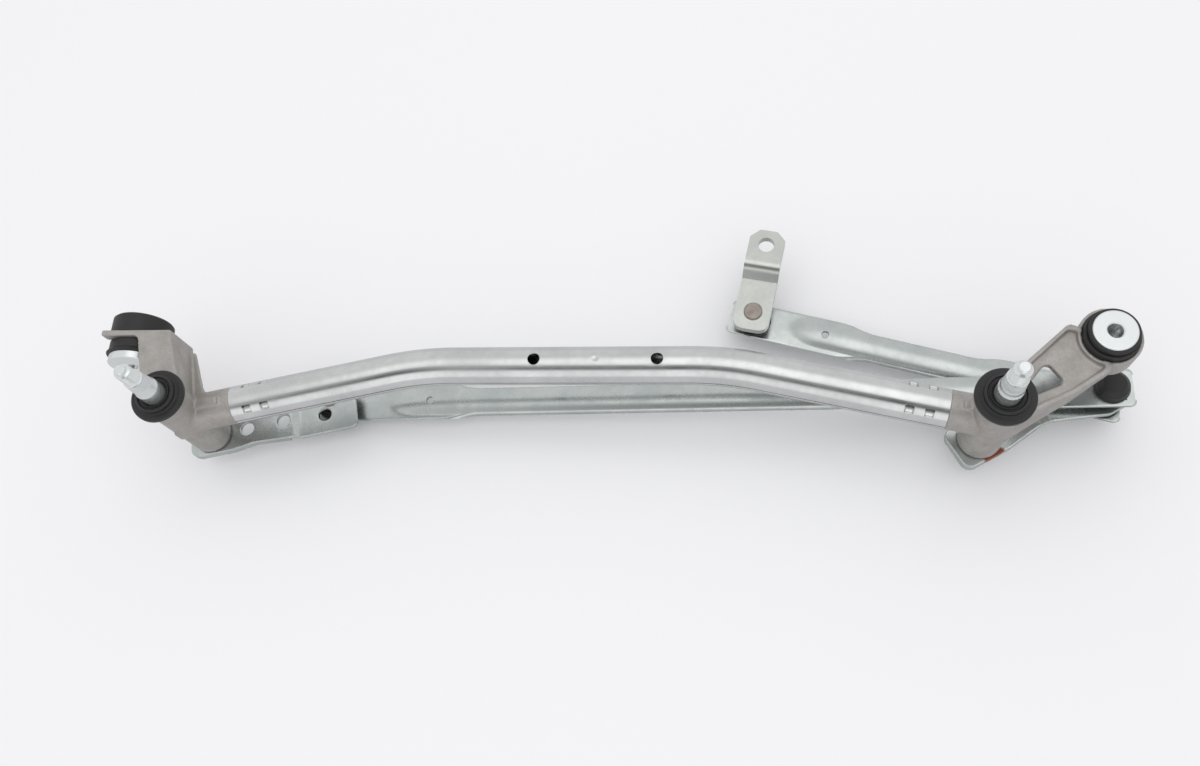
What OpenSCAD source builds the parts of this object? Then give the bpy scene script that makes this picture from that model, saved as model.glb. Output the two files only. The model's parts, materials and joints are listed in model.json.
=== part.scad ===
// Windscreen wiper linkage. A bent tube carries a cast spindle housing at each end.
// Each spindle turns a pressed lever, a long rod ties the two levers together, and a
// drive rod joins the right lever to the motor crank. Millimetres, +Z up along the
// spindles. The origin is on the left spindle axis, at the top face of the cap's flange.

/* [Linkage] */
// Distance between the two spindle axes
spindle_gap = 500; // [440:5:600]
// Length of both levers, from the spindle axis to the ball
lever_len = 81.6; // [76:0.2:90]
// Direction of both balls from their spindles at rest
lever_angle = 20; // [19.5:0.5:24]
// Length of the drive rod between its ball centres
drive_rod_len = 221; // [205:1:250]
// Direction of the drive rod at rest, from its lever ball
drive_rod_angle = 165; // [160:0.1:168]
// Length of the motor crank, from its ball to the motor shaft hole
crank_len = 45.8; // [42:0.2:52]
// Direction of the motor crank at rest
crank_angle = 78.8; // [40:0.2:110]

/* [Frame tube] */
// Outside diameter of the tube
tube_od = 24; // [22:0.5:25]
// Wall of the tube
tube_wall = 1.8; // [1.2:0.1:2.2]
// Slope of the tube's end stretches to the spindle line
tube_angle = 12.3; // [8:0.1:15]
// How far the tube's middle stretch lies behind the spindle line
tube_bow = 33.6; // [24:0.2:40]
// Radius of the two bends, on the centre line
tube_bend_r = 200; // [100:5:260]
// Depth of the tube's centre line below the caps
tube_drop = 37; // [32:0.5:44]
// Diameter of the motor bolt holes
motor_hole_d = 7.7; // [6:0.1:9]
// Distance between the motor bolt holes
motor_hole_gap = 76.4; // [60:0.2:100]
// Centre of the motor bolt holes to the right of the tube's middle
motor_hole_shift = 16.7; // [0:0.1:25]
// Width of the open seam along the front of the tube
seam_w = 1.7; // [0.8:0.1:2]
// Depth of the seam
seam_depth = 0.9; // [0.4:0.1:1]
// Side of a square staking dent
stake_w = 5; // [3.5:0.1:6]
// Distance from the tube's end to the first dent, and from dent to dent
stake_pitch = 10.5; // [8:0.1:12]

/* [Spindles] */
// Diameter of the plain shank
spindle_d = 14.6; // [12:0.1:16]
// Height of the spindle above the cap's flange
spindle_rise = 42; // [38:0.5:50]
// Nominal diameter of the thread
thread_d = 10; // [8:0.5:10]
// Length of the thread
thread_len = 10.5; // [8:0.5:14]
// Length of the knurled cone
knurl_len = 13.5; // [10:0.5:16]
// Diameter of the plain button at the tip
tip_d = 6.8; // [5:0.1:7.2]
// Length of the plain button at the tip
tip_len = 3.5; // [2:0.1:5]
// Diameter of the riveted end that holds the lever
rivet_end_d = 12; // [9:0.1:12.5]

/* [Housings] */
// Height of a housing, from below the cap to the lever end
housing_h = 70; // [64:1:80]
// Radius of a housing under the cap
housing_r_top = 12.4; // [11.8:0.1:13]
// Radius of a housing at the lever end
housing_r_low = 13.3; // [12.5:0.1:14.5]
// Distance from the left spindle axis to the tube's end
left_neck = 34; // [30:0.5:40]
// Distance from the right spindle axis to the tube's end
right_neck = 25; // [22:0.5:32]
// Length of a spigot inside the tube
spigot_len = 30; // [27:0.5:36]
// Length of each bearing bush
bearing_len = 16; // [10:0.5:22]
// Wall of each bearing bush
bearing_wall = 1.6; // [1:0.1:1.8]
// Depth of the pocket under the cap that holds the retaining ring
pocket_depth = 4.4; // [4.2:0.1:6]

/* [Caps] */
// Diameter of a cap's flange
cap_d = 33.6; // [30:0.2:36]
// Thickness of a cap's flange
cap_t = 4; // [3:0.1:5]
// Diameter of a cap's raised ring
cap_ring_d = 24.6; // [22:0.2:28]
// Height of a cap's raised ring above the flange
cap_ring_h = 3.2; // [2:0.1:4]

/* [Left strut and fork] */
// Position of the left bush along the spindle line, from the left spindle
left_bush_x = -36; // [-42:0.5:-34]
// Depth of the left bush axis below the cap
left_bush_drop = 27; // [26:0.5:32]
// Distance of the fork plate behind the spindle line
fork_y = 45.5; // [43:0.5:52]
// Thickness of the fork plate
fork_t = 4; // [3:0.1:5]
// Radius of the round slot in the fork plate
fork_slot_r = 12.5; // [11:0.1:13.5]
// Half height of the fork plate
fork_half_h = 20; // [18.5:0.1:22]
// Lean of the strut from the spindle line
strut_angle = 108.5; // [104:0.5:112]
// Width of the strut's top plate
strut_w = 21.5; // [18:0.5:24]
// Thickness of the strut's walls
strut_t = 4; // [3:0.1:5]
// Depth of the strut's side wall at the fork
strut_depth = 32; // [24:0.5:36]

/* [Right arm] */
// Position of the right bush along the spindle line, from the right spindle
right_bush_x = 61.7; // [58:0.5:68]
// Position of the right bush behind the spindle line
right_bush_y = 38.8; // [35:0.5:44]
// Depth of the arm's rim below the cap
arm_drop = 8; // [6:0.1:10]
// Height of the rim above the arm's floor
arm_rim_h = 4; // [2:0.1:6]
// Thickness of the arm's floor
arm_floor_t = 4; // [3:0.1:6]
// Width of the arm's rim
arm_rim_w = 3; // [2:0.1:4]
// Depth of the arm's front gusset where it meets the housing
gusset_depth = 54; // [40:1:56]

/* [Bushes] */
// Radius of the left rubber
left_rubber_r = 19; // [17:0.1:20]
// Length of the left rubber
left_rubber_len = 26; // [22:0.5:30]
// Radius of the left sleeve's flange
left_flange_r = 17; // [14:0.1:18]
// Thickness of the left sleeve's flange
left_flange_t = 5.4; // [3:0.1:7]
// Radius of the right rubber
right_rubber_r = 15.6; // [15.2:0.1:17]
// Length of the right rubber
right_rubber_len = 24; // [20:0.5:28]
// Radius of the right sleeve's flange
right_flange_r = 12.3; // [10:0.1:13]
// Thickness of the right sleeve's flange
right_flange_t = 4; // [2:0.1:5]
// Wall of the ring boss round the right rubber
ring_wall = 2.1; // [1.8:0.1:4]
// Bore of both sleeves
sleeve_bore_d = 8.4; // [6.5:0.1:10]
// Wall of both sleeves
sleeve_wall = 2.2; // [1.5:0.1:3]

/* [Levers and crank] */
// Thickness of the lever plates
lever_t = 3; // [2.5:0.1:4]
// Step between a lever's inner and outer part
lever_joggle = 4; // [2:0.1:5]
// Half width of a lever at the spindle
lever_half_w = 14; // [13:0.1:16]
// Half width of a lever round the ball
lever_end_half_w = 12; // [11:0.1:13]
// Direction of the left lever's plate, from the spindle line
left_lever_turn = 12.7; // [11:0.1:13]
// Direction of the right lever's plate, from the spindle line
right_lever_turn = 30; // [22:0.5:32]
// Depth of the lever's turned-down edge
lever_edge_h = 3.4; // [1:0.1:3.6]
// Distance from the ball back to the step in the left lever
left_joggle_back = 25.6; // [25:0.1:26]
// Distance from the spindle to the step in the right lever
right_joggle_at = 38; // [34:0.5:46]
// Diameter of the lightening holes in the left lever
light_hole_d = 9; // [7:0.1:9.4]
// Reach of the left lever past the ball
lever_over = 18; // [13:0.5:19]
// Thickness of the motor crank
crank_t = 5; // [4:0.1:6]
// Width of the motor crank
crank_w = 23.5; // [20:0.5:26]
// Rise of the crank's outer end
crank_rise = 8; // [5:0.5:9]
// Diameter of the motor shaft hole
crank_hole_d = 10.6; // [8:0.1:12]
// Thickness of the washers
washer_t = 1; // [0.8:0.1:1.4]

/* [Rods and ball joints] */
// Thickness of the rods' sheet
rod_t = 2.2; // [1.8:0.1:2.6]
// Width of a rod's end plates
rod_plate_w = 25; // [24:0.5:28]
// Width of a rod's channel
rod_w = 17; // [16:0.5:20]
// Depth of the channel's flanges below the sheet
rod_flange_h = 1.6; // [1:0.1:2.4]
// Height of the raised bead above the sheet
rod_bead_h = 3.8; // [3:0.1:4.4]
// Distance from a ball to the nose of the long rod's bead
long_bead_at = 40; // [34:1:46]
// Distance from the left ball to where the long rod's end plate narrows
long_plate_len = 80; // [74:1:90]
// Distance from the right ball to where the long rod's end plate narrows
long_plate_len_right = 40; // [34:1:44]
// Distance from the left ball to the long rod's tooling hole
long_hole_at = 70; // [60:1:74]
// Distance from a ball to the nose of the drive rod's bead
drive_bead_at = 30; // [26:1:34]
// Distance from a ball to where the drive rod's end plates narrow
drive_plate_len = 56; // [50:1:60]
// Distance from the crank ball to the drive rod's tooling hole
drive_hole_at = 48.5; // [44:0.5:54]
// Length over which an end plate narrows to the channel
rod_taper = 24; // [18:1:28]
// Reach of the end plates past the ball on the outer ends
plate_over = 16; // [13.5:0.5:20]
// Reach of the end plates past the ball on the right lever
plate_over_lever = 13; // [13:0.5:16]
// Diameter of the tooling hole in a rod
tooling_hole_d = 5; // [3:0.1:6]
// Diameter of the balls
ball_d = 13; // [12:0.1:13.4]
// Distance from a lever's face to the ball's centre
ball_drop = 9.7; // [9.2:0.1:11]
// Diameter of a ball stud's neck
neck_d = 8; // [6:0.1:8.4]
// Radius of a socket's flange
socket_flange_r = 12; // [11:0.1:12.4]
// Radius of a socket's body
socket_r = 9.6; // [9:0.1:10]

/* [Hidden] */
$fn = 64;
// Radial gap of a running fit, and of pieces that are pressed or seated together
run_gap = 0.06;
seat_gap = 0.02;
// Gap between flat faces that turn on each other
face_gap = 0.3;
// Overlap that makes a cut pass cleanly through a face
eps = 1;
// How much wider the tube is round its bends
bend_swell = 0.04;

spindle_r = spindle_d / 2;
bearing_r = spindle_r + run_gap + bearing_wall;
housing_top = -cap_t;
housing_low = housing_top - housing_h;
pocket_r = bearing_r + 1.6;
pocket_low = housing_top - pocket_depth;
ring_t = 1.2;
ring_z = pocket_low + face_gap + washer_t;
shank_h = spindle_rise - tip_len - thread_len - knurl_len - 1;
lever_top = housing_low - face_gap - washer_t;
tube_r = tube_od / 2;
spigot_r = tube_r - tube_wall - seat_gap;
bend_leg = tube_bend_r * tan(tube_angle / 2);
bend_x = tube_bow / tan(tube_angle);
end_run = bend_x / cos(tube_angle) - bend_leg;
// Top and lower end of the ring boss, and top of the right rubber
ring_top = -arm_drop - 1;
ring_low = ring_top - 15;
right_rubber_top = -1;
sleeve_r = sleeve_bore_d / 2;
sleeve_out_r = sleeve_r + sleeve_wall;
left_rubber_front = 8.5;
left_rubber_y = fork_y - fork_t / 2 - left_rubber_front;
stud_r = neck_d / 2;
rivet_head_r = 6.1;
rivet_head_h = 1.4;
ball_r = ball_d / 2;
left_ball = lever_tip(0, lever_top - lever_joggle - lever_t - ball_drop);
right_ball = lever_tip(spindle_gap, lever_top + lever_joggle + ball_drop);
right_low_ball = lever_tip(spindle_gap, lever_top + lever_joggle - lever_t - ball_drop);
crank_ball = right_low_ball + drive_rod_len * [cos(drive_rod_angle), sin(drive_rod_angle), 0];
rod_rise = right_ball.z - left_ball.z;
lever_edge_t = 0.8 * lever_t;
// Where the arm's front edge leaves the right housing, and where it meets the ring boss
arm_root = [4, 0.4 - housing_r_top];
arm_front = [right_bush_x - 1, right_bush_y - 20];
long_rod_tilt = atan(rod_rise / spindle_gap);
long_rod_len = norm(right_ball - left_ball);

zinc = "silver";
cast_grey = [0.64, 0.62, 0.60];
rubber_black = [0.13, 0.13, 0.14];
plastic_black = [0.08, 0.08, 0.09];
rivet_tan = [0.66, 0.60, 0.54];
bronze = [0.70, 0.52, 0.32];

// Ball position at height z on the lever of the spindle at x
function lever_tip(x, z) = [x + lever_len * cos(lever_angle), lever_len * sin(lever_angle), z];

function unit(v) = v / norm(v);

// Points of a fillet of radius r at corner b between a and c
function fillet(a, b, c, r, n = 6) =
  let (
    p = unit(a - b),
    q = unit(c - b),
    half = acos(p * q) / 2,
    centre = b + unit(p + q) * r / sin(half),
    start = b + p * r / tan(half) - centre,
    end = b + q * r / tan(half) - centre,
    a0 = atan2(start.y, start.x),
    turn = (atan2(end.y, end.x) - a0 + 540) % 360 - 180
  )
  [for (i = [0:n]) centre + r * [cos(a0 + turn * i / n), sin(a0 + turn * i / n)]];

// Closed outline through corners, each [x, y, fillet radius]
function rounded(corners) =
  let (n = len(corners))
  [for (i = [0:n - 1])
    let (
      a = corners[(i + n - 1) % n],
      b = corners[i],
      c = corners[(i + 1) % n],
      flat = [b.x, b.y]
    )
    each b.z > 0 ? fillet([a.x, a.y], flat, [c.x, c.y], b.z) : [flat]];

// A flat plate from z0 to z1 with filleted corners
module plate(corners, z0, z1) {
  translate([0, 0, z0])
    linear_extrude(z1 - z0)
      polygon(rounded(corners));
}

// A plate drawn in X and Z, running from y0 to y1
module upright_plate(corners, y0, y1) {
  translate([0, y1, 0])
    rotate([90, 0, 0])
      linear_extrude(y1 - y0)
        polygon(rounded(corners));
}

// Carries a flat profile, drawn in offset to the back and height, along a straight
// stretch of the tube from a point, in a direction
module along_straight(point, direction, run) {
  translate([point.x, point.y, 0])
    rotate([0, 0, direction])
      rotate([90, 0, 90])
        linear_extrude(run)
          children();
}

// Carries the same profile round a bend that starts at x and at the given direction
module along_bend(x, start) {
  translate([x, tube_bow - tube_bend_r, 0])
    rotate([0, 0, start])
      rotate_extrude(angle = tube_angle)
        translate([tube_bend_r, 0])
          children();
}

// Carries the same profile along the whole tube, from a distance off each spindle axis.
// The straight stretches run a little into the bends, which are a hair wider ($swell).
module along_tube(from_left, from_right) {
  lap = 1;
  mid_x = bend_x + bend_leg;
  axis = [cos(tube_angle), sin(tube_angle)];
  right_run = end_run - from_right + lap;
  right_start = [spindle_gap, 0] - (end_run + lap) * [axis.x, -axis.y];
  $swell = 0;
  translate([0, 0, -tube_drop]) {
    along_straight(from_left * axis, tube_angle, end_run - from_left + lap) children();
    along_bend(mid_x, 90, $swell = bend_swell) children();
    along_straight([mid_x - lap, tube_bow], 0, spindle_gap - 2 * (mid_x - lap)) children();
    along_bend(spindle_gap - mid_x, 90 - tube_angle, $swell = bend_swell) children();
    along_straight(right_start, -tube_angle, right_run) children();
  }
}

// Places children at the four staking dents, in a frame along the tube from its end
module at_stakes() {
  for (side = [-45, 45], row = [1, 2])
    translate([row * stake_pitch, 0, 0])
      rotate([side, 0, 0])
        children();
}

// Frames along the end stretches of the tube, starting at each tube end
module left_tube_frame() {
  translate([0, 0, -tube_drop])
    rotate([0, 0, tube_angle])
      translate([left_neck, 0, 0])
        children();
}

module right_tube_frame() {
  translate([spindle_gap, 0, -tube_drop])
    rotate([0, 0, 180 - tube_angle])
      translate([right_neck, 0, 0])
        children();
}

// Staking dent: a shallow square sink with a slot lanced through the wall at its edge
module stake_window() {
  slot = 0.7;
  sink = tube_wall * 0.55;
  translate([stake_w / 2 - slot, -stake_w / 2, tube_r - tube_wall - eps])
    cube([2 * slot, stake_w, tube_wall + 2 * eps]);
  translate([-stake_w / 2, -stake_w / 2, tube_r - sink])
    cube([stake_w, stake_w, tube_wall]);
}

module frame_tube() {
  seam_angle = 177;
  color(zinc)
    difference() {
      along_tube(left_neck, right_neck)
        circle(tube_r + $swell);
      along_tube(left_neck - eps, right_neck - eps)
        circle(tube_r - tube_wall + $swell);
      along_tube(left_neck + 2 * eps, right_neck + 2 * eps)
        rotate(seam_angle)
          translate([tube_r - seam_depth - $swell, -seam_w / 2 - $swell])
            square([2 * seam_depth, seam_w + 2 * $swell]);
      for (side = [-1, 1])
        translate([spindle_gap / 2 + motor_hole_shift + side * motor_hole_gap / 2, tube_bow, -tube_drop])
          cylinder(d = motor_hole_d, h = tube_od + 2 * eps, center = true);
      left_tube_frame() at_stakes() stake_window();
      right_tube_frame() at_stakes() stake_window();
    }
}

// Spigot that the tube is staked on, with a groove under each pair of dents
module spigot(neck) {
  groove_w = stake_w + 1.6;
  groove_d = 1.6;
  ledge_len = 14;
  ledge_w = 5;
  ledge_rise = 2.2;
  ledge_back = 7;
  rotate([0, 90, 0]) {
    cylinder(r = tube_r, h = neck);
    difference() {
      cylinder(r = spigot_r, h = neck + spigot_len);
      for (row = [1, 2])
        translate([0, 0, neck + row * stake_pitch - groove_w / 2])
          difference() {
            cylinder(r = tube_r, h = groove_w);
            cylinder(r = spigot_r - groove_d, h = groove_w);
          }
    }
  }
  translate([neck - ledge_len - ledge_back, -ledge_w / 2, 0])
    cube([ledge_len, ledge_w, tube_r + ledge_rise]);
}

// Outside of a spindle housing and the bores through it
module housing_barrel() {
  translate([0, 0, housing_low])
    cylinder(r1 = housing_r_low, r2 = housing_r_top, h = housing_h);
}

module housing_bores() {
  relief = 0.8;
  translate([0, 0, housing_low - eps])
    cylinder(r = bearing_r + seat_gap, h = housing_h + 2 * eps);
  translate([0, 0, housing_low + bearing_len])
    cylinder(r = bearing_r + relief, h = housing_h - pocket_depth - 2 * bearing_len);
  translate([0, 0, pocket_low])
    cylinder(r = pocket_r, h = pocket_depth + eps);
}

// Left strut: top plate with the fork's upper tongue, side wall, foot rib and fork plate
module strut() {
  top = fork_half_h - left_bush_drop;
  back = fork_y + fork_t / 2;
  front = fork_y - fork_t / 2;
  lean = 1 / tan(180 - strut_angle);
  plate_reach = 31.4;
  tongue_reach = 15.5;
  front_taper = 0.8;
  right_at_back = left_bush_x + plate_reach;
  left_at_back = right_at_back - strut_w;
  tongue_x = left_bush_x - tongue_reach;
  foot_y = 6;
  foot_x = right_at_back + (back - foot_y) * lean;
  corner_r = 4;
  mouth = fork_slot_r - 0.6;
  plate([
    [foot_x, foot_y, 0],
    [right_at_back, back, 2.5],
    [tongue_x, back, 1],
    [tongue_x, front, 1],
    [left_at_back, front, corner_r],
    [left_at_back + (front - foot_y) * lean * front_taper, foot_y, 0]
  ], top - strut_t, top);
  upright_plate([
    [right_at_back, top, 2.5],
    [right_at_back, top - strut_depth, 3],
    [left_at_back, -left_bush_drop - fork_half_h, 4],
    [tongue_x, -left_bush_drop - fork_half_h, 2],
    [tongue_x, -left_bush_drop - mouth, 2],
    [left_bush_x, -left_bush_drop - mouth, 0],
    [left_bush_x, -left_bush_drop + mouth, 0],
    [tongue_x, -left_bush_drop + mouth, 2],
    [tongue_x, top, 1]
  ], front, back);
  wall_len = (back - foot_y) / sin(strut_angle);
  wall_front_depth = 24;
  drop_angle = atan((strut_depth - wall_front_depth) / wall_len);
  rib_t = 2.4;
  rib_w = 7;
  rib_lift = 0.8;
  lip = 0.5;
  tuck = 1;
  wall_end = wall_len - tuck;
  rib_end = wall_end - 4 * tuck;
  translate([foot_x, foot_y, 0])
    rotate([0, 0, strut_angle]) {
      upright_plate([
        [0, top - tuck, 0],
        [wall_end, top - tuck, 0],
        [wall_end, top - strut_depth, 3],
        [0, top - wall_front_depth, 0]
      ], lip, strut_t);
      translate([0, 0, top - wall_front_depth + rib_lift])
        rotate([0, drop_angle, 0])
          plate([
            [0, strut_t / 2, 0],
            [rib_end, strut_t / 2, 0],
            [rib_end, -2, 1],
            [0, -rib_w, 0]
          ], 0, rib_t);
    }
}

module left_housing() {
  lug_r = 2.2;
  lug_h = 8;
  lug_angle = 254;
  color(cast_grey)
    difference() {
      union() {
        housing_barrel();
        translate([0, 0, -tube_drop])
          rotate([0, 0, tube_angle])
            spigot(left_neck);
        difference() {
          strut();
          left_bush_space();
        }
        rotate([0, 0, lug_angle])
          translate([housing_r_low - 1, 0, -tube_drop - lug_h])
            cylinder(r = lug_r, h = lug_h);
      }
      housing_bores();
    }
}

// Round slot in the fork plate that the left rubber's groove fits
module left_bush_space() {
  translate([left_bush_x, fork_y, -left_bush_drop])
    rotate([90, 0, 0])
      cylinder(r = fork_slot_r, h = fork_t + 2 * eps, center = true);
}

// Outline of the right arm, drawn in by the margin m. Its rear edge leaves the housing
// and ends on the ring boss
function arm_corners(m) =
  let (
    bx = right_bush_x,
    by = right_bush_y,
    rear = housing_r_top - 1.4
  )
  [
    [arm_root.x / 2, rear - m, 0],
    [bx - 46, by - 14 - m * 1.2, 0],
    [bx - 21.5 - m * 0.3, by + 8.4 - m * 1.3, 4],
    [bx - 10 - m * 1.5, by + 2, 0],
    [bx - 4 - m * 1.5, by - 10, 0],
    [arm_front.x - m, arm_front.y + m * 0.6, 4],
    [bx - 24, by - 35.3 + m * 1.2, 20],
    [arm_root.x, arm_root.y + m, 0]
  ];

// Right arm: floor with a raised rim, window, front gusset and ring boss for the rubber
module arm() {
  rim_top = -arm_drop;
  floor_top = rim_top - arm_rim_h;
  floor_low = floor_top - arm_floor_t;
  window_r = 3;
  difference() {
    plate(arm_corners(0), floor_low, rim_top);
    plate(arm_corners(arm_rim_w), floor_top, rim_top + eps);
    plate([
      [housing_r_low + 0.7, 9, window_r],
      [right_bush_x * 0.43, right_bush_y * 0.644, window_r],
      [right_bush_x * 0.577, right_bush_y * 0.314, window_r],
      [housing_r_low + 3.7, 4.2, window_r]
    ], floor_low - eps, floor_top + eps);
  }
  gusset(floor_low, floor_low + arm_floor_t / 2);
  translate([right_bush_x, right_bush_y, ring_low])
    cylinder(r = right_rubber_r + ring_wall, h = ring_top - ring_low);
}

// Front wall of the arm below its floor, cut to a curve that runs out at the ring boss
module gusset(floor_low, top) {
  wall_t = arm_rim_w + 0.6;
  low = -arm_drop - gusset_depth;
  edge = arm_front - arm_root;
  run = norm(edge);
  reach = 8;
  steps = 12;
  curve = [for (i = [0:steps])
    let (f = i / steps)
    [run * f, floor_low + (low - floor_low) * pow(1 - f, 2)]];
  intersection() {
    difference() {
      plate(arm_corners(0), low, top);
      plate(arm_corners(wall_t), low - eps, top + eps);
    }
    translate([arm_root.x, arm_root.y, 0])
      rotate([0, 0, atan2(edge.y, edge.x)])
        translate([0, reach, 0])
          rotate([90, 0, 0])
            linear_extrude(2 * reach)
              polygon(concat([[run, top + eps], [-reach, top + eps], [-reach, low]], curve));
  }
}

module right_housing() {
  color(cast_grey)
    translate([spindle_gap, 0, 0])
      difference() {
        union() {
          housing_barrel();
          translate([0, 0, -tube_drop])
            rotate([0, 0, 180 - tube_angle])
              mirror([0, 1, 0])
                spigot(right_neck);
          arm();
        }
        housing_bores();
        translate([right_bush_x, right_bush_y, ring_low - right_rubber_len / 2])
          cylinder(r = right_rubber_r + seat_gap, h = 2 * right_rubber_len);
      }
}

// Left rubber: two rings with a groove between them, drawn along Y
module left_bush_rubber() {
  groove_low = fork_y - fork_t / 2 - left_rubber_y;
  flare = 1.2;
  color(rubber_black)
    translate([left_bush_x, left_rubber_y, -left_bush_drop])
      rotate([-90, 0, 0])
        rotate_extrude()
          polygon([
            [sleeve_out_r + seat_gap, 0],
            [left_rubber_r - 0.6, 0],
            [left_rubber_r, 0.8],
            [left_rubber_r - flare, 2.6],
            [left_rubber_r - flare, groove_low - seat_gap],
            [fork_slot_r - seat_gap, groove_low - seat_gap],
            [fork_slot_r - seat_gap, groove_low + fork_t + seat_gap],
            [left_rubber_r, groove_low + fork_t + seat_gap],
            [left_rubber_r, left_rubber_len - 1.2],
            [left_rubber_r - 1.2, left_rubber_len],
            [sleeve_out_r + seat_gap, left_rubber_len]
          ]);
}

module left_bush_sleeve() {
  stand_out = 1;
  color(zinc)
    translate([left_bush_x, left_rubber_y, -left_bush_drop])
      rotate([-90, 0, 0])
        difference() {
          union() {
            translate([0, 0, -left_flange_t])
              cylinder(r = left_flange_r, h = left_flange_t);
            cylinder(r = sleeve_out_r, h = left_rubber_len + stand_out);
          }
          translate([0, 0, -left_flange_t - eps])
            cylinder(r = sleeve_r, h = left_flange_t + left_rubber_len + stand_out + 2 * eps);
        }
}

// Right rubber: a lip round the sleeve's flange, a groove and a bead above the ring boss
module right_bush_rubber() {
  top = right_rubber_top;
  low = top - right_rubber_len;
  chamfer = 1.5;
  lip_r = right_flange_r + 1.7;
  lip_low = top - 3;
  groove_r = lip_r - 0.8;
  bead_top = lip_low - 0.9;
  bead_r = right_rubber_r - 0.2;
  color(rubber_black)
    translate([spindle_gap + right_bush_x, right_bush_y, 0])
      rotate_extrude()
        polygon([
          [sleeve_out_r + seat_gap, low],
          [right_rubber_r - chamfer, low],
          [right_rubber_r, low + chamfer],
          [right_rubber_r, ring_top],
          [bead_r, ring_top + chamfer / 2],
          [bead_r, bead_top - 0.6],
          [bead_r - 0.6, bead_top],
          [groove_r, bead_top],
          [groove_r, lip_low],
          [lip_r, lip_low + 0.5],
          [lip_r, top - 0.6],
          [lip_r - 0.6, top],
          [right_flange_r + seat_gap, top],
          [right_flange_r + seat_gap, -right_flange_t],
          [sleeve_out_r + seat_gap, -right_flange_t]
        ]);
}

module right_bush_sleeve() {
  low = right_rubber_top - right_rubber_len - 1;
  color(zinc)
    translate([spindle_gap + right_bush_x, right_bush_y, 0])
      difference() {
        union() {
          translate([0, 0, -right_flange_t])
            cylinder(r = right_flange_r, h = right_flange_t);
          translate([0, 0, low])
            cylinder(r = sleeve_out_r, h = -low);
        }
        translate([0, 0, low - eps])
          cylinder(r = sleeve_r, h = 2 * eps - low);
      }
}

// Cap: flange on the housing, raised ring, lip round the shaft and a locating step
module cap(x) {
  lip_r = spindle_r + 2;
  groove_r = cap_ring_d / 2 - 2;
  shaft_r = spindle_r + run_gap;
  step_h = 0.8;
  color(rubber_black)
    translate([x, 0, 0])
      rotate_extrude()
        polygon([
          [shaft_r, cap_ring_h - 1.4],
          [lip_r, cap_ring_h + 0.6],
          [lip_r, cap_ring_h - 1.2],
          [groove_r, cap_ring_h - 1.2],
          [groove_r + 0.4, cap_ring_h],
          [cap_ring_d / 2 - 0.6, cap_ring_h],
          [cap_ring_d / 2, cap_ring_h - 0.8],
          [cap_ring_d / 2, 0.6],
          [cap_ring_d / 2 + 1, -0.2],
          [cap_d / 2 - 1, 0],
          [cap_d / 2, -1],
          [cap_d / 2, -cap_t + 0.6],
          [cap_d / 2 - 0.6, -cap_t],
          [pocket_r - seat_gap, -cap_t],
          [pocket_r - seat_gap, -cap_t - step_h],
          [pocket_r - 1, -cap_t - step_h],
          [pocket_r - 1, -1.4],
          [shaft_r, -1.4]
        ]);
}

module left_cap() { cap(0); }

module right_cap() { cap(spindle_gap); }

module bearing(x, low) {
  color(bronze)
    translate([x, 0, low])
      difference() {
        cylinder(r = bearing_r, h = bearing_len);
        translate([0, 0, -eps])
          cylinder(r = spindle_r + run_gap, h = bearing_len + 2 * eps);
      }
}

module left_upper_bearing() { bearing(0, pocket_low - bearing_len); }

module left_lower_bearing() { bearing(0, housing_low); }

module right_upper_bearing() { bearing(spindle_gap, pocket_low - bearing_len); }

module right_lower_bearing() { bearing(spindle_gap, housing_low); }

// Spindle: riveted foot, shank with the ring groove, knurled cone, thread and button
module spindle(x) {
  head_h = 2;
  rivet_r = rivet_end_d / 2;
  groove_r = spindle_r - 0.8;
  cone_low = shank_h + knurl_len;
  thread_low = cone_low + 1;
  tip_low = thread_low + thread_len;
  color(zinc)
    translate([x, 0, 0])
      rotate_extrude()
        polygon([
          [0, lever_top - lever_t - head_h],
          [rivet_r + 1, lever_top - lever_t - head_h],
          [rivet_r + 1.8, lever_top - lever_t - head_h / 2],
          [rivet_r + 1.8, lever_top - lever_t],
          [rivet_r, lever_top - lever_t],
          [rivet_r, lever_top],
          [spindle_r, lever_top],
          [spindle_r, ring_z],
          [groove_r, ring_z],
          [groove_r, ring_z + ring_t],
          [spindle_r, ring_z + ring_t],
          [spindle_r, shank_h - 0.6],
          [spindle_r - 0.6, shank_h],
          [thread_d / 2 + 1, cone_low],
          [thread_d / 2 + 0.4, cone_low + 0.4],
          [thread_d / 2, thread_low],
          [thread_d / 2, tip_low],
          [tip_d / 2, tip_low + 0.8],
          [tip_d / 2, spindle_rise - 0.7],
          [tip_d / 2 - 0.7, spindle_rise],
          [0, spindle_rise]
        ]);
}

module left_spindle() { spindle(0); }

module right_spindle() { spindle(spindle_gap); }

// Retaining ring with two eyes, in the spindle's groove
module circlip(x) {
  in_r = spindle_r - 0.8 + seat_gap;
  out_r = spindle_r + 1.5;
  gap_half = 24;
  eye_r = 1.3;
  color(zinc)
    translate([x, 0, ring_z + seat_gap])
      linear_extrude(ring_t - 2 * seat_gap)
        difference() {
          union() {
            difference() {
              circle(out_r);
              circle(in_r);
              polygon([
                [0, 0],
                2 * out_r * [cos(gap_half), -sin(gap_half)],
                2 * out_r * [cos(gap_half), sin(gap_half)]
              ]);
            }
            for (side = [-1, 1])
              rotate(side * (gap_half + 7))
                translate([out_r - eye_r + 0.3, 0])
                  circle(eye_r);
          }
          for (side = [-1, 1])
            rotate(side * (gap_half + 7))
              translate([out_r - eye_r + 0.3, 0])
                circle(0.6);
        }
}

module left_circlip() { circlip(0); }

module right_circlip() { circlip(spindle_gap); }

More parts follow.
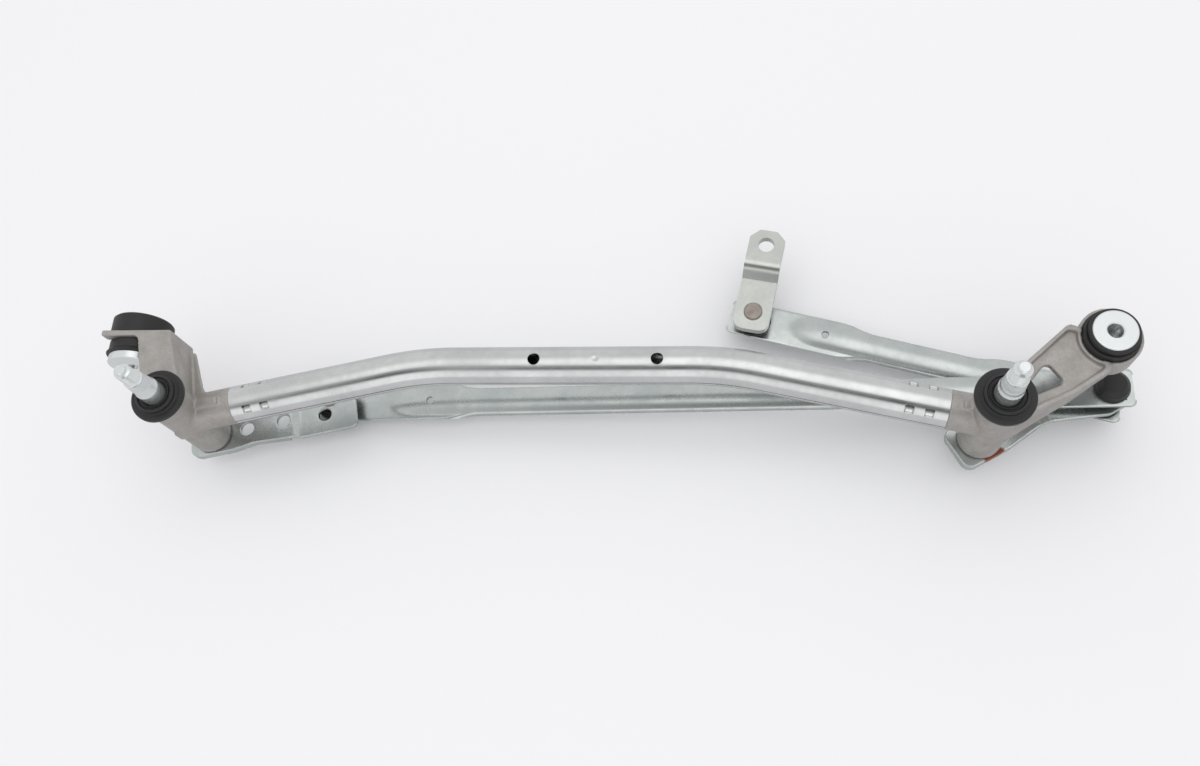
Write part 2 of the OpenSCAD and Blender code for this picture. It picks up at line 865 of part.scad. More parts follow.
module washer(x, low, out_r) {
  color(zinc)
    translate([x, 0, low])
      difference() {
        cylinder(r = out_r, h = washer_t);
        translate([0, 0, -eps])
          cylinder(r = spindle_r + seat_gap, h = washer_t + 2 * eps);
      }
}

module left_thrust_washer() { washer(0, pocket_low + face_gap, pocket_r - 0.6); }

module right_thrust_washer() { washer(spindle_gap, pocket_low + face_gap, pocket_r - 0.6); }

module left_lower_washer() { washer(0, lever_top, housing_r_low - 1); }

module right_lower_washer() { washer(spindle_gap, lever_top, housing_r_low - 1); }

// Ball place in the frame of a lever plate that is turned from the spindle line
function ball_in_plate(turn) = lever_len * [cos(lever_angle - turn), sin(lever_angle - turn)];

// Left lever outline along X from the spindle, drawn in by a margin, with an ear for the ball
function left_lever_corners(inset) =
  let (
    ball = ball_in_plate(left_lever_turn),
    back = -lever_half_w - 2 + inset,
    w0 = lever_half_w - inset,
    waist = lever_half_w - 2 - inset,
    w1 = lever_end_half_w - inset,
    tip = ball.x + lever_over - inset,
    round_r = 6
  )
  [
    [back, -w0, round_r - inset],
    [lever_half_w, -w0, 10],
    [2 * lever_half_w, -waist, 10],
    [ball.x - left_joggle_back, -w0, 10],
    [tip, -w0, 4],
    [tip, ball.y, 4],
    [ball.x + w1 / 2, ball.y + w1, 5],
    [ball.x - w1, ball.y + w1, 8],
    [lever_len / 2, w0, 10],
    [back, w0, round_r - inset]
  ];

// Right lever outline, which bends from the spindle towards its ball
function right_lever_corners(inset) =
  let (
    ball = ball_in_plate(right_lever_turn),
    back = -lever_half_w - 3 + inset,
    w0 = lever_half_w - inset,
    waist = lever_half_w - 3 - inset,
    w1 = lever_end_half_w - inset,
    round_r = 6
  )
  [
    [back, -w0, round_r - inset],
    [lever_half_w, -w0, 10],
    [right_joggle_at, -waist, 14],
    [ball.x - w1 / 2, ball.y - w1, 8],
    [ball.x + w1, ball.y - w1, 5],
    [ball.x + w1, ball.y + w1, 5],
    [ball.x - w1, ball.y + 1.4 * w1, 10],
    [lever_half_w, w0, 10],
    [back, w0, round_r - inset]
  ];

// Pressed lever on the spindle at x. Its plate is turned from the spindle line and steps
// up or down by the joggle; outer and inner bound its turned-down edge
module lever(x, turn, outer, inner, joggle_at, joggle) {
  ball = ball_in_plate(turn);
  ramp = abs(joggle);
  bend_r = 3;
  tip = 2 * lever_len;
  back = -2 * lever_half_w;
  side = 2 * lever_len;
  edge_end = joggle_at - bend_r;
  edge_low = -lever_t - lever_edge_h;
  translate([x, 0, lever_top])
    rotate([0, 0, turn])
      difference() {
        union() {
          intersection() {
            plate(outer, -3 * lever_t - ramp, 3 * lever_t);
            upright_plate([
              [back, 0, 0],
              [joggle_at, 0, bend_r],
              [joggle_at + ramp, joggle, bend_r],
              [tip, joggle, 0],
              [tip, joggle - lever_t, 0],
              [joggle_at + ramp, joggle - lever_t, bend_r],
              [joggle_at, -lever_t, bend_r],
              [back, -lever_t, 0]
            ], -side, side);
          }
          intersection() {
            difference() {
              plate(outer, edge_low, -lever_t / 2);
              plate(inner, edge_low - eps, 0);
            }
            translate([back, -side, edge_low - eps])
              cube([edge_end - back, 2 * side, 4 * lever_t]);
          }
        }
        translate([0, 0, -2 * lever_t])
          cylinder(d = rivet_end_d + 2 * seat_gap, h = 3 * lever_t);
        translate([ball.x, ball.y, joggle - 2 * lever_t])
          cylinder(d = neck_d + 2 * seat_gap, h = 3 * lever_t);
        children();
      }
}

module left_lever() {
  hole_back = [57, 31.6, 4];
  ball = ball_in_plate(left_lever_turn);
  color(zinc)
    lever(0, left_lever_turn, left_lever_corners(0), left_lever_corners(lever_edge_t),
          ball.x - left_joggle_back, -lever_joggle)
      for (back = hole_back)
        translate([ball.x - back, -light_hole_d / 9, -lever_joggle - 2 * lever_t])
          cylinder(d = light_hole_d, h = lever_joggle + 4 * lever_t);
}

module right_lever() {
  color(zinc)
    lever(spindle_gap, right_lever_turn, right_lever_corners(0), right_lever_corners(lever_edge_t),
          right_joggle_at, lever_joggle);
}

// Ball and neck below a plate whose lower face is at z = 0
module ball_half() {
  shoulder_r = stud_r + 1.8;
  shoulder_h = 1.4;
  translate([0, 0, -ball_drop])
    sphere(ball_r);
  translate([0, 0, -ball_drop])
    cylinder(r = stud_r - 0.6, h = ball_drop);
  translate([0, 0, -shoulder_h])
    cylinder(r = shoulder_r, h = shoulder_h);
}

// Shank through a plate of thickness t and the riveted head on top of it
module rivet_half(t) {
  dome = 0.6;
  rotate_extrude()
    polygon([
      [0, 0],
      [stud_r, 0],
      [stud_r, t],
      [rivet_head_r, t],
      [rivet_head_r, t + rivet_head_h - dome],
      [rivet_head_r - dome, t + rivet_head_h],
      [0, t + rivet_head_h]
    ]);
}

module left_ball_stud() {
  color(rivet_tan)
    translate(left_ball + [0, 0, ball_drop]) {
      ball_half();
      rivet_half(lever_t);
    }
}

module right_ball_stud() {
  color(rivet_tan) {
    translate(right_low_ball + [0, 0, ball_drop]) {
      ball_half();
      cylinder(r = stud_r, h = lever_t);
    }
    translate(right_ball - [0, 0, ball_drop])
      mirror([0, 0, 1])
        ball_half();
  }
}

module crank_ball_stud() {
  color(rivet_tan)
    translate(crank_ball + [0, 0, ball_drop]) {
      ball_half();
      rivet_half(crank_t);
    }
}

// Socket round a ball at the origin, open at the top, snapped into a rod's plate
module socket() {
  top = 4.2;
  low = -ball_r - 2.6;
  bead_r = socket_r + 0.7;
  half_t = rod_t / 2 + seat_gap;
  mouth_r = sqrt(pow(ball_r + run_gap, 2) - top * top);
  color(plastic_black)
    difference() {
      rotate_extrude()
        polygon([
          [0, low],
          [socket_r - 3, low],
          [socket_r - 0.4, low + 3],
          [socket_r, -half_t - 2.4],
          [bead_r, -half_t - 0.8],
          [bead_r, -half_t],
          [socket_r, -half_t],
          [socket_r, half_t],
          [socket_flange_r, half_t],
          [socket_flange_r, half_t + 1],
          [socket_flange_r - 0.8, half_t + 1.8],
          [socket_r - 0.6, half_t + 1.8],
          [socket_r - 1.2, top],
          [0, top]
        ]);
      sphere(ball_r + run_gap);
      cylinder(r = mouth_r, h = top + eps);
    }
}

// Stamped rod of the given length along X. over_a and over_b are the reach of its end
// plates, bead_at, plate_a, plate_b and hole_at are distances from its balls
module rod(length, over_a, over_b, bead_at, plate_a, plate_b, hole_at) {
  half_plate = rod_plate_w / 2;
  half_rod = rod_w / 2;
  corner = 4;
  bend_r = 14;
  channel_a = plate_a + rod_taper;
  channel_b = length - plate_b - rod_taper;
  bead_r = (half_rod * half_rod + rod_bead_h * rod_bead_h) / (2 * rod_bead_h);
  bead_z = rod_t / 2 + rod_bead_h - bead_r;
  flange_mid = half_rod - rod_t / 2 - seat_gap;
  difference() {
    union() {
      difference() {
        union() {
          plate([
            [-over_a, -half_plate, corner],
            [plate_a, -half_plate, bend_r],
            [channel_a, -half_rod, bend_r],
            [channel_b, -half_rod, bend_r],
            [length - plate_b, -half_plate, bend_r],
            [length + over_b, -half_plate, corner],
            [length + over_b, half_plate, corner],
            [length - plate_b, half_plate, bend_r],
            [channel_b, half_rod, bend_r],
            [channel_a, half_rod, bend_r],
            [plate_a, half_plate, bend_r],
            [-over_a, half_plate, corner]
          ], -rod_t / 2, rod_t / 2);
          intersection() {
            bead(length, bead_at, bead_r, bead_z);
            translate([0, -rod_w, -rod_t / 4])
              cube([length, 2 * rod_w, 4 * rod_bead_h]);
          }
        }
        bead(length, bead_at, bead_r - rod_t, bead_z);
      }
      for (side = [-1, 1])
        upright_plate([
          [channel_a - rod_taper / 2, 0, 0],
          [channel_b + rod_taper / 2, 0, 0],
          [channel_b, -rod_t / 2 - rod_flange_h, 6],
          [channel_a, -rod_t / 2 - rod_flange_h, 6]
        ], side * flange_mid - rod_t / 2, side * flange_mid + rod_t / 2);
    }
    for (at = [0, length])
      translate([at, 0, -rod_t])
        cylinder(r = socket_r + seat_gap, h = 2 * rod_t);
    translate([hole_at, 0, -rod_t])
      cylinder(d = tooling_hole_d, h = 3 * rod_t + rod_bead_h);
  }
}

// Round bar with domed ends that shapes the bead and its hollow
module bead(length, bead_at, r, z) {
  nose = bead_at + rod_w / 2;
  for (at = [nose, length - nose])
    translate([at, 0, z])
      sphere(r);
  translate([nose, 0, z])
    rotate([0, 90, 0])
      cylinder(r = r, h = length - 2 * nose);
}

module long_rod_frame() {
  translate(left_ball)
    rotate([0, -long_rod_tilt, 0])
      children();
}

module drive_rod_frame() {
  translate(crank_ball)
    rotate([0, 0, drive_rod_angle - 180])
      children();
}

module long_rod() {
  color(zinc)
    long_rod_frame()
      rod(long_rod_len, plate_over, plate_over_lever, long_bead_at,
          long_plate_len, long_plate_len_right, long_hole_at);
}

module long_rod_left_socket() {
  long_rod_frame() socket();
}

module long_rod_right_socket() {
  long_rod_frame()
    translate([long_rod_len, 0, 0])
      mirror([0, 0, 1])
        socket();
}

module drive_rod() {
  color(zinc)
    drive_rod_frame()
      rod(drive_rod_len, plate_over, plate_over_lever, drive_bead_at,
          drive_plate_len, drive_plate_len, drive_hole_at);
}

module drive_rod_crank_socket() {
  drive_rod_frame() socket();
}

module drive_rod_lever_socket() {
  drive_rod_frame()
    translate([drive_rod_len, 0, 0])
      socket();
}

// Motor crank: plate with a rising step and clipped corners at the shaft end
module motor_crank() {
  half_w = crank_w / 2;
  back = -13;
  ramp_start = 25.5;
  ramp_end = ramp_start + 11.5;
  tip = crank_len + 10.8;
  clip = 6;
  color(zinc)
    translate(crank_ball + [0, 0, ball_drop])
      rotate([0, 0, crank_angle])
        difference() {
          intersection() {
            plate([
              [back, -half_w, 7],
              [tip - clip, -half_w, 1],
              [tip, -half_w + clip, 1],
              [tip, half_w - clip, 1],
              [tip - clip, half_w, 1],
              [back, half_w, 7]
            ], -eps, crank_rise + crank_t + eps);
            upright_plate([
              [back - eps, 0, 0],
              [ramp_start, 0, 4],
              [ramp_end, crank_rise, 4],
              [tip + eps, crank_rise, 0],
              [tip + eps, crank_rise + crank_t, 0],
              [ramp_end - 2, crank_rise + crank_t, 7],
              [ramp_start - 2, crank_t, 2],
              [back - eps, crank_t, 0]
            ], -crank_w, crank_w);
          }
          translate([0, 0, -eps])
            cylinder(d = neck_d + 2 * seat_gap, h = crank_t + 2 * eps);
          translate([crank_len, 0, 0])
            cylinder(d = crank_hole_d, h = crank_rise + crank_t + eps);
        }
}

frame_tube();
left_housing();
right_housing();
left_bush_rubber();
left_bush_sleeve();
right_bush_rubber();
right_bush_sleeve();
left_cap();
right_cap();
left_upper_bearing();
left_lower_bearing();
right_upper_bearing();
right_lower_bearing();
left_spindle();
left_lever();
left_ball_stud();
left_circlip();
left_thrust_washer();
left_lower_washer();
right_spindle();
right_lever();
right_ball_stud();
right_circlip();
right_thrust_washer();
right_lower_washer();
long_rod();
long_rod_left_socket();
long_rod_right_socket();
drive_rod();
drive_rod_crank_socket();
drive_rod_lever_socket();
motor_crank();
crank_ball_stud();
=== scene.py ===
"""Looks of the wiper linkage: finishes, shaped pieces, studio and camera."""

import json
import logging
import math
from abc import ABC, abstractmethod
from dataclasses import dataclass, field, replace
from enum import Enum
from typing import Sequence

import bpy
import numpy as np
from mathutils import Matrix, Vector


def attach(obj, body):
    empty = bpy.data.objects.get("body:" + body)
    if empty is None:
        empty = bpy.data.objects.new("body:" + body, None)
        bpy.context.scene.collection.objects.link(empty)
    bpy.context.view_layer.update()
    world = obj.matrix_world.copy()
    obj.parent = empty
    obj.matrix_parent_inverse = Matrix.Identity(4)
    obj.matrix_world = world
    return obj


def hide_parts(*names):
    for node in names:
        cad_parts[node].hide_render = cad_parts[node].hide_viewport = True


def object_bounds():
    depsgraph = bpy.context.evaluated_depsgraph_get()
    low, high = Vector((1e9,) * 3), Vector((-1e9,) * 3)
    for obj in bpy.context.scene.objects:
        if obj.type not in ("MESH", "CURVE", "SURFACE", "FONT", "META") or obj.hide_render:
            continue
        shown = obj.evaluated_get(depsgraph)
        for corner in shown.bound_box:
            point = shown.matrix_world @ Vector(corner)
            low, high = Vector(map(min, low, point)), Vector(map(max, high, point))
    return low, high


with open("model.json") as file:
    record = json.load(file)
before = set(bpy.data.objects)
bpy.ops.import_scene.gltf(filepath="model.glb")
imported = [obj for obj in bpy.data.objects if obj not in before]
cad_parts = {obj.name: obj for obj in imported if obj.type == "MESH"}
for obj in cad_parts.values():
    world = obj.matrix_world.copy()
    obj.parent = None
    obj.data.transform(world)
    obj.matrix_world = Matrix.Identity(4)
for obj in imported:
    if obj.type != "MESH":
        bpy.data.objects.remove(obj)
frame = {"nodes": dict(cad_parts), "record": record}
CAD_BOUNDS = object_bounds()

LOG = logging.getLogger("wiper_linkage")
MM = 0.001
MERGE_DISTANCE = 0.002
SHARP_EDGE = math.radians(50.0)

# Masks of painted light on the tube: a painted highlight on the dent floors, and painted shade in the
# seam and along the dent edges.
HIGHLIGHT_MARK = "painted_highlight"
SHADE_MARK = "painted_shade"
HIGHLIGHT_COLOUR = (0.97, 0.97, 0.96)
SHADE_COLOUR = (0.03, 0.03, 0.03)
SPECK_GAIN = 1.7
SOCKET_KINDS = {1: "NodeSocketFloat", 3: "NodeSocketVector", 4: "NodeSocketColor"}

Array = np.ndarray
Colour = tuple[float, float, float]
Point = tuple[float, float, float]
Axes = tuple[Point, Point, Point]
Corner = tuple[float, float, float]
Socket = bpy.types.NodeSocket
Inputs = dict[str | int, object]
Groups = dict[str, bpy.types.NodeTree]

ORIGIN: Point = (0.0, 0.0, 0.0)
UPRIGHT: Axes = ((1.0, 0.0, 0.0), (0.0, 1.0, 0.0), (0.0, 0.0, 1.0))
ALONG_Y: Axes = ((1.0, 0.0, 0.0), (0.0, 0.0, -1.0), (0.0, 1.0, 0.0))


class Slot(Enum):
    """Material slots of the record."""

    TUBE = "zinc_tube"
    SHEET = "zinc_sheet"
    WHITE = "white_zinc"
    CAST = "cast_alloy"
    RUBBER = "rubber"
    PLASTIC = "socket_plastic"
    RIVET = "rivet_steel"
    SPRING = "spring_steel"
    BRONZE = "bronze"


class Tree:
    """Short names for the nodes that the finishes are wired from."""

    def __init__(self, tree: bpy.types.NodeTree) -> None:
        """Keeps the node tree that is being filled."""
        self.tree = tree

    def put(self, value: object, socket: Socket) -> None:
        """Links a socket to another, or sets a constant on it.

        Args:
            value: A socket to link from, or a constant.
            socket: The input that takes it.
        """
        if isinstance(value, Socket):
            self.tree.links.new(value, socket)
        else:
            socket.default_value = value

    def add(self, kind: str, inputs: Inputs | None = None, **values: object) -> bpy.types.Node:
        """Adds a node, sets its properties and fills its inputs.

        Args:
            kind: The node's type name.
            inputs: Constants or sockets by the input's name or number.
            **values: Properties of the node.

        Returns:
            The new node.
        """
        node = self.tree.nodes.new(kind)
        for key, value in values.items():
            setattr(node, key, value)
        for key, value in (inputs or {}).items():
            self.put(value, node.inputs[key])
        return node

    def math(self, operation: str, a: object, b: object, clamp: bool = False) -> Socket:
        """Does arithmetic on two values, held between 0 and 1 where clamp is set."""
        node = self.add("ShaderNodeMath", {0: a, 1: b}, operation=operation, use_clamp=clamp)
        return node.outputs[0]

    def vector(self, operation: str, a: object, b: object, output: str = "Value") -> Socket:
        """Does arithmetic on two vectors and gives a number, or the output that is named."""
        node = self.add("ShaderNodeVectorMath", {0: a, 1: b}, operation=operation)
        return node.outputs[output]

    def noise(self, vector: object, scale: object, detail: float = 3.0, rough: float = 0.55) -> Socket:
        """Samples fractal noise, about 0.5 on average, with scale cells per metre."""
        inputs = {"Vector": vector, "Scale": scale, "Detail": detail, "Roughness": rough}
        return self.add("ShaderNodeTexNoise", inputs).outputs["Fac"]

    def remap(
        self, value: object, low: object, high: object, to_low: object = 0.0, to_high: object = 1.0
    ) -> Socket:
        """Maps the range from low to high onto another, held at its ends."""
        inputs = dict(enumerate((value, low, high, to_low, to_high)))
        return self.add("ShaderNodeMapRange", inputs, clamp=True).outputs["Result"]

    def mix(self, factor: object, a: object, b: object) -> Socket:
        """Mixes two colours by the share of the second one."""
        inputs = {"Factor": factor, 6: a, 7: b}
        return self.add("ShaderNodeMix", inputs, data_type="RGBA").outputs[2]


def rgba(colour: Colour) -> tuple[float, float, float, float]:
    """Adds full opacity to a linear colour."""
    return (*colour, 1.0)


def new_group(
    name: str, inputs: dict[str, object], outputs: dict[str, object]
) -> tuple[Tree, dict[str, Socket], dict[str, Socket]]:
    """Starts a shader node group.

    The length of a default tells the type of its socket: a number, a vector or a colour.

    Args:
        name: Name of the group.
        inputs: Default by input name.
        outputs: Default by output name.

    Returns:
        The tree, its input sockets by name and its output sockets by name.
    """
    group = bpy.data.node_groups.new(name, "ShaderNodeTree")
    for way, sockets in (("INPUT", inputs), ("OUTPUT", outputs)):
        for key, default in sockets.items():
            kind = SOCKET_KINDS[np.size(default)]
            socket = group.interface.new_socket(key, in_out=way, socket_type=kind)
            socket.default_value = default
    tree = Tree(group)
    start = tree.add("NodeGroupInput")
    end = tree.add("NodeGroupOutput")
    given = {key: start.outputs[key] for key in inputs}
    result = {key: end.inputs[key] for key in outputs}
    return tree, given, result


def make_cloud_group() -> bpy.types.NodeTree:
    """Cloudy plating: two sizes of soft noise mix two colours and shift the roughness.

    Returns:
        The node group.
    """
    tree, given, result = new_group(
        "plating_cloud",
        {
            "Vector": ORIGIN,
            "Base": (0.7, 0.7, 0.7, 1.0),
            "Tint": (0.6, 0.6, 0.6, 1.0),
            "Scale": 40.0,
            "Roughness": 0.3,
            "Spread": 0.1,
        },
        {"Color": (0.7, 0.7, 0.7, 1.0), "Roughness": 0.3},
    )
    broad = tree.noise(given["Vector"], given["Scale"])
    fine = tree.noise(given["Vector"], tree.math("MULTIPLY", given["Scale"], 7.0))
    blend = tree.math("ADD", tree.math("MULTIPLY", broad, 0.7), tree.math("MULTIPLY", fine, 0.3))
    share = tree.remap(blend, 0.36, 0.64)
    tree.put(tree.mix(share, given["Base"], given["Tint"]), result["Color"])
    shift = tree.math("MULTIPLY", tree.math("SUBTRACT", share, 0.5), given["Spread"])
    tree.put(tree.math("ADD", given["Roughness"], shift, clamp=True), result["Roughness"])
    return tree.tree


def make_grain_group() -> bpy.types.NodeTree:
    """Grain: fine noise and sparse specks as a bump height, with the specks as a mask.

    Returns:
        The node group.
    """
    tree, given, result = new_group(
        "surface_grain",
        {"Vector": ORIGIN, "Stretch": (1.0, 1.0, 1.0), "Scale": 900.0},
        {"Height": 0.0, "Specks": 0.0},
    )
    place = tree.vector("MULTIPLY", given["Vector"], given["Stretch"], "Vector")
    height = tree.noise(place, given["Scale"], detail=4.0, rough=0.65)
    tree.put(height, result["Height"])
    specks = tree.noise(place, tree.math("MULTIPLY", given["Scale"], 0.8), detail=1.0)
    tree.put(tree.remap(specks, 0.66, 0.74), result["Specks"])
    return tree.tree


def make_patch_group() -> bpy.types.NodeTree:
    """Patch: a soft, ragged spot round a point, one inside and zero outside its radius.

    Returns:
        The node group.
    """
    tree, given, result = new_group(
        "ragged_patch",
        {"Vector": ORIGIN, "Centre": ORIGIN, "Radius": 0.01, "Ragged": 0.4},
        {"Mask": 0.0},
    )
    away = tree.vector("DISTANCE", given["Vector"], given["Centre"])
    wave = tree.math("SUBTRACT", tree.noise(given["Vector"], 260.0), 0.5)
    reach = tree.math("ADD", 1.0, tree.math("MULTIPLY", wave, given["Ragged"]))
    edge = tree.math("MULTIPLY", given["Radius"], reach)
    inner = tree.math("MULTIPLY", edge, 0.78)
    tree.put(tree.remap(away, inner, edge, 1.0, 0.0), result["Mask"])
    return tree.tree


@dataclass(frozen=True)
class Patch:
    """A stained spot on a finish, with its place and radius in metres."""

    centre: Point
    radius: float
    colour: Colour
    roughness: float = 0.30
    strength: float = 1.0


@dataclass(frozen=True)
class Finish:
    """One procedural finish, wired from the shared groups.

    Clouds, counted per metre, mix base and tint and shift the roughness by the spread. Grains,
    also per metre, are a bump with a depth in millimetres. Specks are light grains. A marked
    piece carries masks for a painted highlight and for painted shade.
    """

    slot: Slot
    base: Colour
    tint: Colour
    roughness: float
    spread: float
    cloud: float
    grain: float
    depth: float
    stretch: Point = (1.0, 1.0, 1.0)
    metallic: float = 1.0
    speck: float = 0.0
    patches: tuple[Patch, ...] = ()
    marked: bool = False

    def build(self, groups: Groups, name: str | None = None) -> bpy.types.Material:
        """Makes the material.

        Args:
            groups: The shared node groups by name.
            name: Name of the material, or None for the slot's name.

        Returns:
            The material.
        """
        material = bpy.data.materials.new(name or self.slot.value)
        material.use_nodes = True
        tree = Tree(material.node_tree)
        place = tree.add("ShaderNodeTexCoord").outputs["Object"]
        clouds = {"Vector": place, "Base": rgba(self.base), "Tint": rgba(self.tint)}
        clouds |= {"Scale": self.cloud, "Roughness": self.roughness, "Spread": self.spread}
        cloud = tree.add("ShaderNodeGroup", clouds, node_tree=groups["cloud"])
        grains = {"Vector": place, "Stretch": self.stretch, "Scale": self.grain}
        grain = tree.add("ShaderNodeGroup", grains, node_tree=groups["grain"])
        colour, rough = cloud.outputs["Color"], cloud.outputs["Roughness"]
        metal: object = self.metallic
        if self.speck:
            light = rgba(tuple(min(1.0, part * SPECK_GAIN) for part in self.base))
            share = tree.math("MULTIPLY", grain.outputs["Specks"], self.speck)
            colour = tree.mix(share, colour, light)
        for patch in self.patches:
            spots = {"Vector": place, "Centre": patch.centre, "Radius": patch.radius}
            spot = tree.add("ShaderNodeGroup", spots, node_tree=groups["patch"])
            share = tree.math("MULTIPLY", spot.outputs["Mask"], patch.strength)
            colour = tree.mix(share, colour, rgba(patch.colour))
            rough = tree.remap(share, 0.0, 1.0, rough, patch.roughness)
            metal = tree.remap(share, 0.0, 1.0, metal, 0.0)
        if self.marked:
            # Painted light: a near-white painted highlight and a near-black painted shade, from the
            # masks on the tube.
            for mark, shade in ((HIGHLIGHT_MARK, HIGHLIGHT_COLOUR), (SHADE_MARK, SHADE_COLOUR)):
                share = tree.add("ShaderNodeAttribute", attribute_name=mark).outputs["Fac"]
                colour = tree.mix(share, colour, rgba(shade))
        bumps = {"Strength": 1.0, "Distance": self.depth * MM, "Height": grain.outputs["Height"]}
        normal = tree.add("ShaderNodeBump", bumps).outputs["Normal"]
        shader = material.node_tree.nodes["Principled BSDF"]
        looks = {"Base Color": colour, "Roughness": rough, "Metallic": metal, "Normal": normal}
        for key, value in looks.items():
            tree.put(value, shader.inputs[key])
        return material


FINISHES: tuple[Finish, ...] = (
    Finish(
        slot=Slot.TUBE, base=(0.80, 0.81, 0.805), tint=(0.68, 0.69, 0.685), roughness=0.22,
        spread=0.12, cloud=30.0, grain=260.0, depth=0.014, stretch=(0.08, 1.0, 1.0), marked=True,
    ),
    Finish(
        slot=Slot.SHEET, base=(0.68, 0.715, 0.70), tint=(0.56, 0.605, 0.59), roughness=0.28,
        spread=0.07, cloud=40.0, grain=420.0, depth=0.006, stretch=(0.4, 1.0, 1.0),
    ),
    Finish(
        slot=Slot.WHITE, base=(0.88, 0.905, 0.90), tint=(0.84, 0.875, 0.88), roughness=0.24,
        spread=0.03, cloud=60.0, grain=700.0, depth=0.002, metallic=0.86,
    ),
    Finish(
        slot=Slot.CAST, base=(0.465, 0.443, 0.419), tint=(0.375, 0.356, 0.336), roughness=0.42,
        spread=0.12, cloud=90.0, grain=1500.0, depth=0.10, metallic=0.58, speck=0.35,
    ),
    Finish(
        slot=Slot.RUBBER, base=(0.014, 0.014, 0.0142), tint=(0.020, 0.020, 0.020), roughness=0.46,
        spread=0.12, cloud=120.0, grain=900.0, depth=0.03, metallic=0.0,
    ),
    Finish(
        slot=Slot.PLASTIC, base=(0.010, 0.010, 0.011), tint=(0.016, 0.016, 0.017), roughness=0.42,
        spread=0.10, cloud=120.0, grain=1100.0, depth=0.02, metallic=0.0,
    ),
    Finish(
        slot=Slot.RIVET, base=(0.46, 0.41, 0.365), tint=(0.35, 0.305, 0.27), roughness=0.46,
        spread=0.14, cloud=200.0, grain=1100.0, depth=0.03,
    ),
    Finish(
        slot=Slot.SPRING, base=(0.42, 0.43, 0.44), tint=(0.34, 0.35, 0.36), roughness=0.36,
        spread=0.10, cloud=120.0, grain=900.0, depth=0.02,
    ),
    Finish(
        slot=Slot.BRONZE, base=(0.46, 0.28, 0.12), tint=(0.38, 0.22, 0.09), roughness=0.46,
        spread=0.10, cloud=160.0, grain=1200.0, depth=0.03,
    ),
)
AMBER: Colour = (0.20, 0.034, 0.003)
OCHRE: Colour = (0.27, 0.155, 0.018)
OWN_LOOKS: dict[str, dict[str, object]] = {
    "motor_crank": {
        "base": (0.66, 0.67, 0.635),
        "tint": (0.58, 0.595, 0.57),
        "metallic": 1.0,
        "roughness": 0.22,
    },
    "right_lever": {"patches": (Patch((0.5085, -0.0105, -0.0753), 0.0078, AMBER),)},
    "right_housing": {"patches": (Patch((0.5090, -0.0100, -0.0750), 0.0045, AMBER),)},
    "long_rod": {
        "patches": (
            Patch((0.5385, 0.0322, -0.0600), 0.0029, OCHRE, 0.40),
            Patch((0.5425, 0.0300, -0.0600), 0.0020, OCHRE, 0.40),
            Patch((0.5352, 0.0290, -0.0600), 0.0017, OCHRE, 0.40, 0.9),
        ),
    },
}


def unit(vectors: Array) -> Array:
    """Scales rows to length one."""
    return vectors / np.maximum(np.linalg.norm(vectors, axis=-1, keepdims=True), 1e-12)


def smooth_step(values: Array, low: float, high: float) -> Array:
    """Rises from 0 at low to 1 at high as 3 t squared minus 2 t cubed."""
    t = np.clip((values - low) / (high - low), 0.0, 1.0)
    return t * t * (3.0 - 2.0 * t)


def knots(*stretches: tuple[float, float, float]) -> Array:
    """Joins stretches of evenly spaced values into one rising list.

    Args:
        *stretches: Start, end and largest step of each stretch.

    Returns:
        The sorted values, without repeats.
    """
    counts = [max(2, int(math.ceil((b - a) / step)) + 1) for a, b, step in stretches]
    rows = [np.linspace(a, b, count) for (a, b, _), count in zip(stretches, counts)]
    values = np.unique(np.round(np.concatenate(rows), 4))
    return values[np.concatenate(([True], np.diff(values) > 0.02))]


def filleted(corners: Sequence[Corner], arc: int = 6) -> Array:
    """Rounds an open line of corners.

    Each inner corner becomes an arc that is tangent to both of its sides: its centre lies on
    the bisector at radius over sine of the half angle, and its points turn evenly from one
    tangent point to the other. A support point lies a little outside each end of the arc, which
    keeps the flat stretches flat in smooth shading.

    Args:
        corners: Two coordinates and a radius for each corner.
        arc: Points on each arc.

    Returns:
        The points of the line.
    """
    table = np.array(corners, float)
    b = table[1:-1, :2]
    back, ahead = table[:-2, :2] - b, table[2:, :2] - b
    p, q = unit(back), unit(ahead)
    half = 0.5 * np.arccos(np.clip((p * q).sum(1, keepdims=True), -0.999999, 0.999999))
    room = 0.42 * np.minimum(np.linalg.norm(back, axis=1), np.linalg.norm(ahead, axis=1))[:, None]
    reach = np.minimum(table[1:-1, 2:] / np.tan(half), room)
    radius = reach * np.tan(half)
    centre = b + unit(p + q) * radius / np.sin(half)
    start, end = b + p * reach - centre, b + q * reach - centre
    turn = np.maximum(np.pi - 2.0 * half, 1e-5)[:, :, None]
    t = np.linspace(0.0, 1.0, arc)[None, :, None]
    spin = np.sin((1.0 - t) * turn) * start[:, None] + np.sin(t * turn) * end[:, None]
    round_points = centre[:, None] + spin / np.sin(turn)
    hold = np.minimum(0.25, 0.15 * room)
    first = (b + p * (reach + hold))[:, None]
    last = (b + q * (reach + hold))[:, None]
    middle = np.concatenate((first, round_points, last), axis=1).reshape(-1, 2)
    return np.concatenate((table[:1, :2], middle, table[-1:, :2]))


def grid_faces(gone: Array, wrap: bool = False) -> Array:
    """Lists the quads of a grid of points that are numbered row by row.

    Args:
        gone: True for each point of the grid that lies inside a hole.
        wrap: True to join the last column to the first.

    Returns:
        Four point numbers for each quad that touches no hole.
    """
    numbers = np.arange(gone.size).reshape(gone.shape)
    if wrap:
        numbers = np.concatenate((numbers, numbers[:, :1]), axis=1)
    corners = (numbers[:-1, :-1], numbers[:-1, 1:], numbers[1:, 1:], numbers[1:, :-1])
    faces = np.stack(corners, axis=-1).reshape(-1, 4)
    return faces[~gone.reshape(-1)[faces].any(axis=1)]


